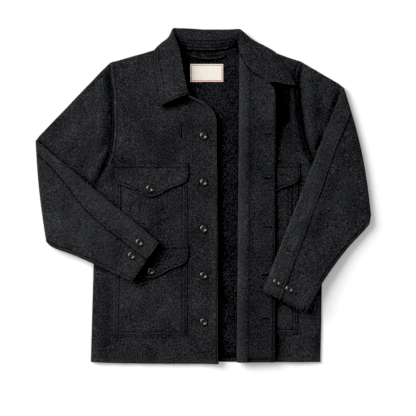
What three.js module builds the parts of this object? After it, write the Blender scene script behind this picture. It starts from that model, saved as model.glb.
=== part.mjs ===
// A wool mackinaw jacket, laid flat on its back with its front open.
//
// The back lies on the surface. The right front lies closed over it, and the left front is turned
// back on itself, so that its inside shows. Both sleeves are folded over at the elbow, with the cuffs
// on the fronts. The collar stands round the neck: its fall lies on the fronts and under the back.
//
// Millimetres, +Z up. X runs towards the wearer's left, Y from the hem to the collar, and the
// origin is under the middle of the jacket, on the surface that it lies on.
import * as THREE from "three";

// Driving sizes of the cloth
const CLOTH = 2; // thickness of the milled wool
const SEAM = 0.3; // gap between pieces that are sewn together
const LAYER = CLOTH + SEAM; // rise from a layer of cloth to the one that lies on it
const BUTTING = 0.5; // gap between two edges that meet along a curved seam

// Driving sizes of the body
const HEM_Y = -404;
const RIGHT_HEM_DIP = 4; // the right front hangs this much lower at its open edge
const BODY_LOFT = 4.5; // how far the fronts stay up off the back
const LOFT_EASE = 7; // how soon they rise to it from a side or shoulder seam
const PLACKET_LIFT = 5; // how far the right front's open edge lifts
const PLACKET_REACH = 28;
const PLACKET_TOP_Y = 176;

// The right side: side seam up to the armpit, then the armhole up to the shoulder.
const RIGHT_SIDE = [
  { y: -404, x: -273 },
  { y: -162, x: -266 },
  { y: 18, x: -261 },
  { y: 46, x: -246.5 },
  { y: 74, x: -232 },
  { y: 123, x: -219 },
  { y: 171, x: -216 },
  { y: 232, x: -217 },
  { y: 281, x: -222 },
  { y: 322, x: -227 },
];
const LEFT_SIDE = [
  { y: -404, x: 284 },
  { y: -210, x: 288 },
  { y: 47, x: 289 },
  { y: 66, x: 278.5 },
  { y: 86, x: 267 },
  { y: 123, x: 250 },
  { y: 166, x: 242 },
  { y: 208, x: 236 },
  { y: 256, x: 230.5 },
  { y: 286, x: 229 },
  { y: 324, x: 240 },
];
const RIGHT_PIT_Y = 18;
const LEFT_PIT_Y = 47;
const RIGHT_SHOULDER = { x: -227, y: 322 };
const LEFT_SHOULDER = { x: 240, y: 324 };
const RIGHT_NECK = { x: -66, y: 368 };
const LEFT_NECK = { x: 85, y: 375 };
const BACK_NECK_Y = 349;
// Every panel is cut in the same rows, as shares of the way from the hem to its top edge.
const PANEL_ROWS = [
  0, 0.13, 0.26, 0.38, 0.49, 0.5813, 0.6195, 0.66, 0.7, 0.745, 0.79, 0.835, 0.88, 0.925, 0.965, 0.985, 1,
];

// Where each front's top edge is, from its open edge (part 0) to its side (part 1).
const RIGHT_FRONT_TOP = [
  { part: 0, y: PLACKET_TOP_Y },
  { part: 0.012, y: 188 },
  { part: 0.04, y: 203 },
  { part: 0.09, y: 215 },
  { part: 0.165, y: 220 },
  { part: 0.225, y: 229 },
  { part: 0.27, y: 243 },
  { part: 0.31, y: 256 },
  { part: 0.345, y: 285 },
  { part: 0.368, y: 325 },
  { part: 0.382, y: 367 },
  { part: 0.45, y: 362 },
  { part: 0.7, y: 343.8 },
  { part: 1, y: 322 },
];
const PLACKET = [
  { y: -408, x: 37 },
  { y: 171, x: 34 },
  { y: 260, x: 32 },
];

// The left front is folded back on a line that leans a little.
const FOLD_LINE = [
  { y: -404, x: 81 },
  { y: 368, x: 88 },
];
const FOLD_RADIUS = 6.6; // of the middle of the cloth
const FREE_EDGE = [
  { y: -404, x: 174.5 },
  { y: 245, x: 175.5 },
];
// Where the top edge of the part that is folded back is, from the fold to the free edge.
const FOLDED_TOP = [
  { part: 0, y: 330 },
  { part: 0.15, y: 303 },
  { part: 0.5, y: 282 },
  { part: 0.78, y: 270 },
  { part: 0.92, y: 262 },
  { part: 1, y: 242 },
];
// How high the folded part stands over the middle of its roll, at each place across it.
const FOLDED_HEIGHT = [
  { part: 0, rise: 0, topRise: 0 },
  { part: 0.12, rise: -0.6, topRise: -0.2 },
  { part: 0.4, rise: -4.4, topRise: -2.2 },
  { part: 0.75, rise: -6, topRise: -1.5 },
  { part: 1, rise: -5.4, topRise: 1.5 },
];
const FOLDED_LIFT_Y = [
  { y: 60, share: 0 },
  { y: 230, share: 1 },
];

// The back rises a little over the fall of the collar, which lies under it.
const FALL_RAISE = LAYER + 2 * SEAM;
const FALL_FROM = 27; // below the back's top edge
const FALL_TO = 12;
const FALL_RIGHT_X = -150;
const FALL_LEFT_X = 205;
const FALL_SIDE = 30;

// Soft folds of the fronts: a ridge (high over 0) or trough along a line, fading at its ends.
const FRONT_FOLDS = [
  { x: -195, y: -250, turn: 86, long: 130, wide: 17, high: 1.1 },
  { x: -245, y: -300, turn: 92, long: 90, wide: 12, high: -0.8 },
  { x: -120, y: 150, turn: 20, long: 90, wide: 24, high: 1.1 },
  { x: -60, y: 130, turn: 80, long: 70, wide: 16, high: -0.8 },
  { x: -185, y: 250, turn: 100, long: 60, wide: 14, high: 1 },
  { x: 262, y: -300, turn: 88, long: 110, wide: 13, high: 1 },
  { x: 205, y: 140, turn: 75, long: 60, wide: 12, high: 0.9 },
];

// Sleeves. The stations of each table run along the forearm, from the elbow fold to the cuff:
// the upper edge (a), the lower edge (b), the height of the top of the cloth, and the sleeve's depth.
const ELBOW_RADIUS = 9.6; // of the outside of the elbow fold
const RIGHT_SLEEVE = {
  outward: -1,
  shoulderY: 321,
  pitY: RIGHT_PIT_Y,
  fold: { ax: -406.5, ay: 135, bx: -380, by: -115, bow: 4 },
  forearm: [
    { part: 0, ax: -406.5, ay: 135, bx: -380, by: -115, top: 2 * ELBOW_RADIUS, deep: 8.2 },
    { part: 0.1, ax: -376, ay: 110, bx: -361, by: -127, top: 19.6, deep: 8.4 },
    { part: 0.3, ax: -316, ay: 60, bx: -317, by: -143, top: 20.5, deep: 9 },
    { part: 0.62, ax: -219, ay: -20, bx: -250, by: -172, top: 25, deep: 11.5 },
    { part: 1, ax: -105, ay: -113, bx: -171, by: -208, top: 36.5, deep: 20 },
  ],
  // The seam down the back of the arm, as a share of the way from edge a to edge b.
  backSeam: [
    { station: 0, share: 0.34 },
    { station: 1, share: 0.13 },
    { station: 2, share: 0.13 },
    { station: 2.5, share: 0.34 },
    { station: 3, share: 0.45 },
  ],
};
const LEFT_SLEEVE = {
  outward: 1,
  shoulderY: 323,
  pitY: LEFT_PIT_Y,
  fold: { ax: 340, ay: 264, bx: 407, by: -50, bow: 10 },
  forearm: [
    { part: 0, ax: 340, ay: 264, bx: 407, by: -50, top: 2 * ELBOW_RADIUS, deep: 8.2 },
    { part: 0.06, ax: 327, ay: 232, bx: 402, by: -68, top: 19.5, deep: 8.3 },
    { part: 0.14, ax: 312, ay: 195, bx: 393, by: -80, top: 20, deep: 8.6 },
    { part: 0.36, ax: 269, ay: 86, bx: 346, by: -131, top: 23, deep: 10 },
    { part: 0.68, ax: 206, ay: -71, bx: 289, by: -209, top: 30.5, deep: 13 },
    { part: 1, ax: 143, ay: -229.5, bx: 247, by: -283, top: 38, deep: 18 },
  ],
  backSeam: [
    { station: 0, share: 0.36 },
    { station: 1, share: 0.25 },
    { station: 2, share: 0.2 },
    { station: 2.4, share: 0.3 },
    { station: 3, share: 0.43 },
  ],
};
const UPPER_ARM_DEPTH = [
  { part: 0, deep: 9 },
  { part: 0.5, deep: 9.4 },
  { part: 1, deep: 8.2 },
];
const INNER_SEAM_INSET = 9; // of the other seam, from edge b
const ARM_STEPS = { upper: 6, elbow: 7, forearm: 9 };

// The collar, from its right end (along 0) round the neck to its left end (along 1): the middle of
// the cloth at the neck seam, at the roll, half way down the fall, and at the outer edge.
const COLLAR_NECK = [
  { along: 0, x: -32, y: 246, z: 10.5 },
  { along: 0.1, x: -51, y: 289, z: 9.5 },
  { along: 0.2, x: -62, y: 345, z: 8.5 },
  { along: 0.27, x: -62, y: 371, z: 7 },
  { along: 0.38, x: -34, y: 358, z: 6.6 },
  { along: 0.5, x: 9, y: 351, z: 6.6 },
  { along: 0.62, x: 54, y: 360, z: 6.6 },
  { along: 0.69, x: 86, y: 378, z: 8 },
  { along: 0.735, x: 86, y: 356, z: 15 },
  { along: 0.78, x: 91.5, y: 338, z: 23.4 },
  { along: 0.86, x: 109.5, y: 307.5, z: 22.8 },
  { along: 0.93, x: 138, y: 286.5, z: 20.8 },
  { along: 1, x: 159, y: 274, z: 20.4 },
];
const COLLAR_ROLL = [
  { along: 0, x: -36, y: 244, z: 17 },
  { along: 0.1, x: -46, y: 291, z: 24 },
  { along: 0.2, x: -57, y: 352, z: 26 },
  { along: 0.27, x: -72, y: 390, z: 22 },
  { along: 0.3, x: -74, y: 400, z: 17 },
  { along: 0.33, x: -71, y: 404, z: 14 },
  { along: 0.38, x: -50, y: 403.5, z: 11 },
  { along: 0.5, x: 9, y: 400, z: 9.5 },
  { along: 0.62, x: 62, y: 400, z: 11 },
  { along: 0.67, x: 86, y: 401, z: 15 },
  { along: 0.7, x: 100, y: 389, z: 19 },
  { along: 0.735, x: 108, y: 368, z: 21 },
  { along: 0.78, x: 119, y: 338, z: 21.5 },
  { along: 0.86, x: 139, y: 308, z: 20 },
  { along: 0.93, x: 163, y: 286, z: 19 },
  { along: 1, x: 183, y: 270.5, z: 20 },
];
const COLLAR_FALL = [
  { along: 0, x: -68, y: 232, z: 19 },
  { along: 0.1, x: -79, y: 287, z: 19 },
  { along: 0.2, x: -93, y: 347, z: 17 },
  { along: 0.235, x: -98, y: 369, z: 11 },
  { along: 0.28, x: -88, y: 379, z: 2 },
  { along: 0.33, x: -69, y: 391, z: 1.5 },
  { along: 0.38, x: -46, y: 382, z: 1 },
  { along: 0.5, x: 9, y: 378, z: 1 },
  { along: 0.62, x: 64, y: 382, z: 1 },
  { along: 0.665, x: 92, y: 391, z: 1.6 },
  { along: 0.7, x: 123, y: 375, z: 3 },
  { along: 0.735, x: 146, y: 361, z: 10 },
  { along: 0.78, x: 150, y: 337, z: 15 },
  { along: 0.86, x: 174, y: 307, z: 15 },
  { along: 1, x: 205, y: 267, z: 20 },
];
const COLLAR_EDGE = [
  { along: 0, x: -102, y: 218, z: 13 },
  { along: 0.1, x: -110, y: 281, z: 12.2 },
  { along: 0.19, x: -119, y: 338, z: 12.4 },
  { along: 0.22, x: -120, y: 354, z: 11 },
  { along: 0.245, x: -116, y: 360, z: 6 },
  { along: 0.265, x: -107, y: 361.5, z: 1 },
  { along: 0.3, x: -90, y: 353, z: 1 },
  { along: 0.36, x: -58, y: 356, z: 1 },
  { along: 0.5, x: 9, y: 345, z: 1 },
  { along: 0.64, x: 82, y: 366, z: 1 },
  { along: 0.68, x: 122, y: 357, z: 1 },
  { along: 0.71, x: 150, y: 357.5, z: 1 },
  { along: 0.735, x: 169, y: 350.5, z: 5 },
  { along: 0.76, x: 179, y: 342, z: 11 },
  { along: 0.79, x: 184, y: 331, z: 12.5 },
  { along: 0.86, x: 204, y: 306, z: 12 },
  { along: 1, x: 225, y: 264, z: 18 },
];
const STAND_BULGE = 2.5;
const COLLAR_STEPS = { along: 40, across: 10 };

// Pockets: a long panel on each front, with two scalloped flaps over it.
const RIGHT_POCKET = { topX: -210, x: -218, inner: -38.5, top: 66, bottom: -343 };
const LEFT_POCKET = { topX: 230, x: 229, inner: 104, top: 66, bottom: -337 };
const FLAP_WIDTH = 183;
const FLAP_SIDE = 41;
const FLAP_DEPTH = 83;
const FLAP_TOPS = [79, -117]; // the heights of the upper and the lower flap
const RIGHT_FLAP_X = -36; // its edge towards the buttons
const LEFT_FLAP_X = 237.5; // its edge towards the side
const LEFT_FLAP_INNER_X = 108; // where the fold hides it

// Buttons
const BUTTON = { radius: 9.8, thick: 4, rim: 2.1, dish: 2.4, sides: 14 };
const FRONT_BUTTON_X = 1;
const FRONT_BUTTON_TOP_Y = 144;
const FRONT_BUTTON_PITCH = 112.6;
const FRONT_BUTTONS = 5;
const FLAP_BUTTONS = [
  { name: "button_flap_upper", x: -129, y: 16 },
  { name: "button_flap_lower", x: -127, y: -183 },
];
// Each cuff button's place: the share from edge a to edge b, and how far back from the cuff's end.
const CUFF_BUTTONS = {
  right: [
    { part: 0.881, share: 0.254 },
    { part: 0.872, share: 0.553 },
  ],
  left: [
    { part: 0.926, share: 0.197 },
    { part: 0.915, share: 0.48 },
  ],
};

// Label and hanger loop, inside the back of the neck
const LABEL = { x: -31.5, y: 276, wide: 80, high: 43, thick: 1 };
const LOOP = { from: -30, to: 54, endY: 344, sag: 9, wide: 6, thick: 1.5 };

// The facing that is sewn inside the left front's open edge
const FACING_WIDTH = 66;
const FACING_INSET = 1.5;

const mix = (a, b, t) => a + (b - a) * t;
const clamp = (t, low = 0, high = 1) => Math.min(high, Math.max(low, t));
const smooth = (t) => clamp(t) ** 2 * (3 - 2 * clamp(t));

// A smooth curve through a table's rows, which never swings past them. It gives value at any key.
function through(rows, key, value) {
  const t = rows.map((row) => row[key]);
  const p = rows.map((row) => row[value]);
  const slope = t.slice(1).map((_, i) => (p[i + 1] - p[i]) / (t[i + 1] - t[i]));
  const tangent = t.map((_, i) => {
    const before = slope[Math.max(i - 1, 0)];
    const after = slope[Math.min(i, slope.length - 1)];
    return before * after > 0 ? (2 * before * after) / (before + after) : 0;
  });
  return (at) => {
    const here = clamp(at, t[0], t[t.length - 1]);
    let i = 0;
    while (i < t.length - 2 && here > t[i + 1]) i += 1;
    const span = t[i + 1] - t[i];
    const s = (here - t[i]) / span;
    const rise = span * (s * (1 - s) ** 2 * tangent[i] - s * s * (1 - s) * tangent[i + 1]);
    return mix(p[i], p[i + 1], smooth(s)) + rise;
  };
}

function distanceToSegment(x, y, a, b) {
  const dx = b.x - a.x;
  const dy = b.y - a.y;
  const t = clamp(((x - a.x) * dx + (y - a.y) * dy) / (dx * dx + dy * dy));
  return Math.hypot(x - a.x - t * dx, y - a.y - t * dy);
}

// A closed wall of cloth over a grid: skin(i, j) gives the points of its two faces.
function wallGeometry(columns, rows, skin) {
  const points = [];
  for (let i = 0; i <= columns; i += 1) {
    for (let j = 0; j <= rows; j += 1) points.push(...skin(i, j));
  }
  const at = (i, j, face) => 2 * (i * (rows + 1) + j) + face;
  const index = [];
  const quad = (a, b, c, d) => index.push(a, b, c, a, c, d);
  for (let i = 0; i < columns; i += 1) {
    for (let j = 0; j < rows; j += 1) {
      quad(at(i, j, 0), at(i + 1, j, 0), at(i + 1, j + 1, 0), at(i, j + 1, 0));
      quad(at(i, j, 1), at(i, j + 1, 1), at(i + 1, j + 1, 1), at(i + 1, j, 1));
    }
    quad(at(i, 0, 0), at(i, 0, 1), at(i + 1, 0, 1), at(i + 1, 0, 0));
    quad(at(i, rows, 0), at(i + 1, rows, 0), at(i + 1, rows, 1), at(i, rows, 1));
  }
  for (let j = 0; j < rows; j += 1) {
    quad(at(0, j, 0), at(0, j + 1, 0), at(0, j + 1, 1), at(0, j, 1));
    quad(at(columns, j, 0), at(columns, j, 1), at(columns, j + 1, 1), at(columns, j + 1, 0));
  }
  const corner = (n) => points[index[n]];
  let volume = 0;
  for (let n = 0; n < index.length; n += 3) {
    volume += corner(n).dot(corner(n + 1).clone().cross(corner(n + 2)));
  }
  if (volume < 0) index.reverse();
  const geometry = new THREE.BufferGeometry().setFromPoints(points);
  geometry.setIndex(index);
  geometry.computeVertexNormals();
  return geometry;
}

// A wall of even thickness on both sides of a surface, where middle(i, j) is a point of it.
function evenWall(columns, rows, middle, thick = CLOTH) {
  return wallGeometry(columns, rows, (i, j) => {
    const across = middle(Math.min(i + 1, columns), j).sub(middle(Math.max(i - 1, 0), j));
    const down = middle(i, Math.min(j + 1, rows)).sub(middle(i, Math.max(j - 1, 0)));
    const half = across.cross(down).setLength(thick / 2);
    return [middle(i, j).add(half), middle(i, j).sub(half)];
  });
}

// A flat-lying piece: plan(i, j) gives {x, y}, and under(x, y) the height of its lower face.
function lyingWall(columns, rows, plan, under, thick = CLOTH) {
  return wallGeometry(columns, rows, (i, j) => {
    const { x, y } = plan(i, j);
    const z = under(x, y);
    return [new THREE.Vector3(x, y, z + thick), new THREE.Vector3(x, y, z)];
  });
}

// The side edge of every panel, which runs straight from row to row.
function sideEdge(table, shoulderY) {
  const curve = through(table, "y", "x");
  const rows = PANEL_ROWS.map((share) => mix(HEM_Y, shoulderY, share));
  return (y) => {
    let j = 0;
    while (j < rows.length - 2 && y > rows[j + 1]) j += 1;
    const [low, high] = [rows[j], rows[j + 1]];
    return mix(curve(low), curve(high), (clamp(y, low, high) - low) / (high - low));
  };
}

const rightSide = sideEdge(RIGHT_SIDE, RIGHT_SHOULDER.y);
const leftSide = sideEdge(LEFT_SIDE, LEFT_SHOULDER.y);
const placket = through(PLACKET, "y", "x");
const foldLine = through(FOLD_LINE, "y", "x");
const freeEdge = through(FREE_EDGE, "y", "x");

function foldsAt(x, y) {
  let sum = 0;
  for (const fold of FRONT_FOLDS) {
    const turn = THREE.MathUtils.degToRad(fold.turn);
    const along = (x - fold.x) * Math.cos(turn) + (y - fold.y) * Math.sin(turn);
    const off = (y - fold.y) * Math.cos(turn) - (x - fold.x) * Math.sin(turn);
    sum += fold.high * Math.exp(-((along / fold.long) ** 2) - (off / fold.wide) ** 2);
  }
  return sum;
}

// The back's top edge: a shoulder seam, the curve of the neck and the other shoulder seam.
function backTop(x) {
  if (x < RIGHT_NECK.x) {
    const share = (x - RIGHT_SHOULDER.x) / (RIGHT_NECK.x - RIGHT_SHOULDER.x);
    return mix(RIGHT_SHOULDER.y, RIGHT_NECK.y, share);
  }
  if (x > LEFT_NECK.x) {
    const share = (x - LEFT_NECK.x) / (LEFT_SHOULDER.x - LEFT_NECK.x);
    return mix(LEFT_NECK.y, LEFT_SHOULDER.y, share);
  }
  const middleX = (RIGHT_NECK.x + LEFT_NECK.x) / 2;
  const neck = x < middleX ? RIGHT_NECK : LEFT_NECK;
  return mix(BACK_NECK_Y, neck.y, ((x - middleX) / (neck.x - middleX)) ** 2);
}

// Heights of the lower faces of the back and the fronts
function backUnder(x, y) {
  const across = smooth((x - FALL_RIGHT_X) / FALL_SIDE) * smooth((FALL_LEFT_X - x) / FALL_SIDE);
  return FALL_RAISE * across * smooth((FALL_FROM - backTop(x) + y) / (FALL_FROM - FALL_TO));
}

function frontUnder(x, y, sideSeam, shoulder, neck) {
  const fromSide = distanceToSegment(x, y, sideSeam[0], sideSeam[1]);
  const fromShoulder = distanceToSegment(x, y, shoulder, neck);
  const eased = (1 - Math.exp(-fromSide / LOFT_EASE)) * (1 - Math.exp(-fromShoulder / LOFT_EASE));
  return LAYER + backUnder(x, y) + (BODY_LOFT + foldsAt(x, y)) * eased;
}

const rightSideSeam = [RIGHT_SIDE[0], RIGHT_SIDE[2]];
const leftSideSeam = [LEFT_SIDE[0], LEFT_SIDE[2]];

function rightFrontUnder(x, y) {
  const lift = PLACKET_LIFT * Math.exp(-Math.max(placket(y) - x, 0) / PLACKET_REACH);
  return frontUnder(x, y, rightSideSeam, RIGHT_SHOULDER, RIGHT_NECK) + lift;
}

function leftFrontUnder(x, y) {
  return frontUnder(x, y, leftSideSeam, LEFT_SHOULDER, LEFT_NECK);
}

function makeBack() {
  const columns = 20;
  const top = (part) => backTop(mix(RIGHT_SHOULDER.x, LEFT_SHOULDER.x, part));
  // Columns stand at both ends of the neck and evenly between.
  const neckFrom = (RIGHT_NECK.x - RIGHT_SHOULDER.x) / (LEFT_SHOULDER.x - RIGHT_SHOULDER.x);
  const neckTo = (LEFT_NECK.x - RIGHT_SHOULDER.x) / (LEFT_SHOULDER.x - RIGHT_SHOULDER.x);
  const partOf = through(
    [
      { column: 0, part: 0 },
      { column: 7, part: neckFrom },
      { column: 13, part: neckTo },
      { column: columns, part: 1 },
    ],
    "column",
    "part",
  );
  return lyingWall(
    columns,
    PANEL_ROWS.length - 1,
    (i, j) => {
      const y = mix(HEM_Y, top(partOf(i)), PANEL_ROWS[j]);
      return { x: mix(rightSide(y), leftSide(y), partOf(i)), y };
    },
    backUnder,
  );
}

function makeRightFront() {
  const parts = RIGHT_FRONT_TOP.map((row) => row.part);
  parts.splice(-2, 0, 0.56);
  parts.splice(-1, 0, 0.8, 0.9, 0.96);
  const top = through(RIGHT_FRONT_TOP, "part", "y");
  return lyingWall(
    parts.length - 1,
    PANEL_ROWS.length - 1,
    (i, j) => {
      const bottom = HEM_Y - RIGHT_HEM_DIP * (1 - parts[i] ** 4);
      const y = mix(bottom, top(parts[i]), PANEL_ROWS[j]);
      return { x: mix(placket(y), rightSide(y), parts[i]), y };
    },
    rightFrontUnder,
  );
}

const foldedHeight = through(FOLDED_HEIGHT, "part", "rise");
const foldedTopHeight = through(FOLDED_HEIGHT, "part", "topRise");
const foldedLift = through(FOLDED_LIFT_Y, "y", "share");
const foldedTop = through(FOLDED_TOP, "part", "y");
const rollAxis = (y) => foldLine(y) + FOLD_RADIUS + CLOTH / 2;
const rollTop = (y) => leftFrontUnder(rollAxis(y), y) + CLOTH / 2 + 2 * FOLD_RADIUS;

// The middle of the cloth where the left front is folded back, from the roll to the free edge.
function foldedMiddle(part, y) {
  const rise = mix(foldedHeight(part), foldedTopHeight(part), foldedLift(y));
  return new THREE.Vector3(mix(rollAxis(y), freeEdge(y), part), y, rollTop(y) + rise);
}

function makeLeftFront() {
  const lyingColumns = 9;
  const rollColumns = 7;
  const foldedColumns = 8;
  const neckY = LEFT_NECK.y - 3;
  const lyingTop = (part) => mix(neckY, LEFT_SHOULDER.y, part);
  const middle = (i, j) => {
    if (i <= lyingColumns) {
      const part = 1 - i / lyingColumns;
      const y = mix(HEM_Y, lyingTop(part), PANEL_ROWS[j]);
      const x = mix(rollAxis(y), leftSide(y), part);
      return new THREE.Vector3(x, y, leftFrontUnder(x, y) + CLOTH / 2);
    }
    if (i < lyingColumns + rollColumns) {
      const part = (i - lyingColumns) / rollColumns;
      const y = mix(HEM_Y, mix(neckY, FOLDED_TOP[0].y, smooth(part)), PANEL_ROWS[j]);
      const turn = Math.PI * part;
      return new THREE.Vector3(
        rollAxis(y) - FOLD_RADIUS * Math.sin(turn),
        y,
        rollTop(y) - FOLD_RADIUS - FOLD_RADIUS * Math.cos(turn),
      );
    }
    const part = (i - lyingColumns - rollColumns) / foldedColumns;
    return foldedMiddle(part, mix(HEM_Y, foldedTop(part), PANEL_ROWS[j]));
  };
  return evenWall(lyingColumns + rollColumns + foldedColumns, PANEL_ROWS.length - 1, middle);
}

// The facing lies on the folded part, inside up, and is as wide as the button stand.
function makeFacing() {
  const columns = 6;
  const rows = 16;
  return wallGeometry(columns, rows, (i, j) => {
    const inset = 1 - FACING_INSET / FACING_WIDTH;
    const width = (y) => freeEdge(y) - rollAxis(y);
    const partAt = (y) => 1 - (FACING_WIDTH / width(y)) * mix(1, 1 - inset, i / columns);
    const top = foldedTop(partAt(0)) - FACING_INSET;
    const y = mix(HEM_Y + FACING_INSET, top, j / rows);
    const low = foldedMiddle(partAt(y), y).add(new THREE.Vector3(0, 0, CLOTH / 2 + SEAM));
    return [low.clone().add(new THREE.Vector3(0, 0, CLOTH)), low];
  });
}

// Sleeves: point(station, share, depth) is a place on a sleeve. Station 0 to 1 is the upper arm,
// 1 to 2 the turn at the elbow and 2 to 3 the forearm. Share runs from edge a to edge b, and depth is
// measured from the cloth that lies on the surface below the upper arm and on top of the forearm.
function sleeveForm(sleeve, side) {
  const along = (key) => through(sleeve.forearm, "part", key);
  const edges = { ax: along("ax"), ay: along("ay"), bx: along("bx"), by: along("by") };
  const top = along("top");
  const forearmDepth = along("deep");
  const upperDepth = through(UPPER_ARM_DEPTH, "part", "deep");
  const { ax, ay, bx, by, bow } = sleeve.fold;
  const corners = [new THREE.Vector2(ax, ay), new THREE.Vector2(bx, by)];
  const out = new THREE.Vector2(by - ay, ax - bx).normalize();
  if (out.x * sleeve.outward < 0) out.negate();
  const between = ([a, b], share) => a.clone().lerp(b, share);
  const bowAt = (share) => bow * Math.sin(Math.PI * clamp(share));

  const armhole = (share) => {
    const y = mix(sleeve.shoulderY, sleeve.pitY, share);
    return new THREE.Vector2(side(y) + sleeve.outward * BUTTING, y);
  };
  const forearmEdges = [
    (part) => new THREE.Vector2(edges.ax(part), edges.ay(part)),
    (part) => new THREE.Vector2(edges.bx(part), edges.by(part)),
  ];
  const inward = (point, corner) => corner.clone().sub(point).dot(out);
  // The forearm starts where its edge has come in from the fold by the elbow's radius.
  const startParts = corners.map((corner, n) => {
    let [low, high] = [0, 0.5];
    for (let tries = 0; tries < 30; tries += 1) {
      const part = (low + high) / 2;
      if (inward(forearmEdges[n](part), corner) < ELBOW_RADIUS) low = part;
      else high = part;
    }
    return low;
  });
  // How an edge runs from inside to its corner, for each millimetre that it goes outwards.
  const lean = (point, corner) =>
    corner.clone().sub(point).divideScalar(inward(point, corner));
  const upperLeans = corners.map((corner, n) => lean(armhole(n), corner));
  const forearmLeans = corners.map((corner, n) => lean(forearmEdges[n](startParts[n]), corner));
  const atElbow = (station, share, inside) => {
    const upper = between(upperLeans, share);
    const leaning = upper.lerp(between(forearmLeans, share), smooth(station - 1));
    return between(corners, share).addScaledVector(out, bowAt(share)).addScaledVector(leaning, -inside);
  };

  const depthAt = (station) => {
    if (station <= 1) return upperDepth(station);
    return forearmDepth(Math.max(station - 2, 0));
  };
  const edge = (station, share) => {
    if (station <= 1) return armhole(share).lerp(atElbow(1, share, ELBOW_RADIUS), station);
    const part = Math.max(station - 2, 0);
    const ends = forearmEdges.map((at, n) => at(mix(startParts[n], 1, part)));
    return between(ends, share).addScaledVector(out, bowAt(share) * (1 - smooth(part / 0.2)));
  };
  const width = (station) => edge(station, 0).distanceTo(edge(station, 1));
  const point = (station, share, depth) => {
    if (station > 1 && station < 2) {
      const turn = Math.PI * (station - 1);
      const radius = ELBOW_RADIUS - depth;
      const plan = atElbow(station, share, ELBOW_RADIUS - radius * Math.sin(turn));
      return new THREE.Vector3(plan.x, plan.y, ELBOW_RADIUS - radius * Math.cos(turn));
    }
    const plan = edge(station, share);
    return new THREE.Vector3(plan.x, plan.y, station <= 1 ? depth : top(station - 2) - depth);
  };
  const backSeam = through(sleeve.backSeam, "station", "share");
  return { point, width, depthAt, backSeam };
}

const ARM_STATIONS = [];
for (let n = 0; n < ARM_STEPS.upper; n += 1) ARM_STATIONS.push(n / ARM_STEPS.upper);
for (let n = 0; n < ARM_STEPS.elbow; n += 1) ARM_STATIONS.push(1 + n / ARM_STEPS.elbow);
for (let n = 0; n <= ARM_STEPS.forearm; n += 1) ARM_STATIONS.push(2 + n / ARM_STEPS.forearm);

// A point on a sleeve's outer or inner face. The flat stretches are low (against the surface, and on
// top of the forearm) and high; a half round at each edge joins them.
function ringPoint(form, station, place, inset) {
  const deep = form.depthAt(station);
  const round = deep / 2 / form.width(station);
  if (place.flat === "low") return form.point(station, place.share, inset);
  if (place.flat === "high") {
    return form.point(station, mix(1 - round, round, place.part), deep - inset);
  }
  const turn = Math.PI * place.part;
  const radius = deep / 2 - inset;
  const sideways = (radius * Math.sin(turn)) / form.width(station);
  const share = place.edge === "b" ? 1 - round + sideways : round - sideways;
  const depth = deep / 2 - radius * Math.cos(turn);
  return form.point(station, share, place.edge === "b" ? depth : deep - depth);
}

// The under sleeve is the strip between the two seams.
function makeUnderSleeve(form) {
  const columns = 6;
  return wallGeometry(columns, ARM_STATIONS.length - 1, (i, j) => {
    const station = ARM_STATIONS[j];
    const gap = BUTTING / 2 / form.width(station);
    const from = form.backSeam(station) + gap;
    const to = 1 - INNER_SEAM_INSET / form.width(station) - gap;
    const place = { flat: "low", share: mix(from, to, i / columns) };
    return [ringPoint(form, station, place, 0), ringPoint(form, station, place, CLOTH)];
  });
}

// The top sleeve goes the rest of the way round: over edge b, across, and over edge a.
function makeTopSleeve(form) {
  const places = [{ start: true }, { start: true, end: true }];
  const edgeSteps = 4;
  const highSteps = 8;
  const lowSteps = 3;
  for (let n = 1; n <= edgeSteps; n += 1) places.push({ edge: "b", part: n / edgeSteps });
  for (let n = 1; n <= highSteps; n += 1) places.push({ flat: "high", part: n / highSteps });
  for (let n = 1; n <= edgeSteps; n += 1) places.push({ edge: "a", part: n / edgeSteps });
  for (let n = 1; n <= lowSteps; n += 1) places.push({ toSeam: n / lowSteps });
  return wallGeometry(places.length - 1, ARM_STATIONS.length - 1, (i, j) => {
    const station = ARM_STATIONS[j];
    const width = form.width(station);
    const gap = BUTTING / 2 / width;
    const round = form.depthAt(station) / 2 / width;
    let place = places[i];
    if (place.start) {
      const share = place.end ? 1 - round : 1 - INNER_SEAM_INSET / width + gap;
      place = { flat: "low", share };
    } else if (place.toSeam) {
      place = { flat: "low", share: mix(round, form.backSeam(station) - gap, place.toSeam) };
    }
    return [ringPoint(form, station, place, 0), ringPoint(form, station, place, CLOTH)];
  });
}

function makeCollar() {
  const control = (rows) => {
    const [x, y, z] = ["x", "y", "z"].map((key) => through(rows, "along", key));
    return (along) => ({ x: x(along), y: y(along), z: z(along) });
  };
  const curves = [COLLAR_NECK, COLLAR_ROLL, COLLAR_FALL, COLLAR_EDGE].map(control);
  const { along: columns, across: rows } = COLLAR_STEPS;
  const middle = (i, j) => {
    const [neck, roll, fall, edge] = curves.map((curve) => curve(i / columns));
    const stand = {
      x: mix(neck.x, roll.x, 0.5),
      y: mix(neck.y, roll.y, 0.5),
      z: mix(neck.z, roll.z, 0.5) + STAND_BULGE,
    };
    const places = [neck, stand, roll, fall, edge].map((place, n) => ({ ...place, n }));
    const at = (4 * j) / rows;
    return new THREE.Vector3(...["x", "y", "z"].map((key) => through(places, "n", key)(at)));
  };
  return evenWall(columns, rows, middle);
}

function makePocket(pocket, under) {
  const columns = 7;
  const rows = 12;
  return lyingWall(
    columns,
    rows,
    (i, j) => ({
      x: mix(mix(pocket.x, pocket.topX, j / rows), pocket.inner, i / columns),
      y: mix(pocket.bottom, pocket.top, j / rows),
    }),
    (x, y) => under(x, y) + LAYER,
  );
}

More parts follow.
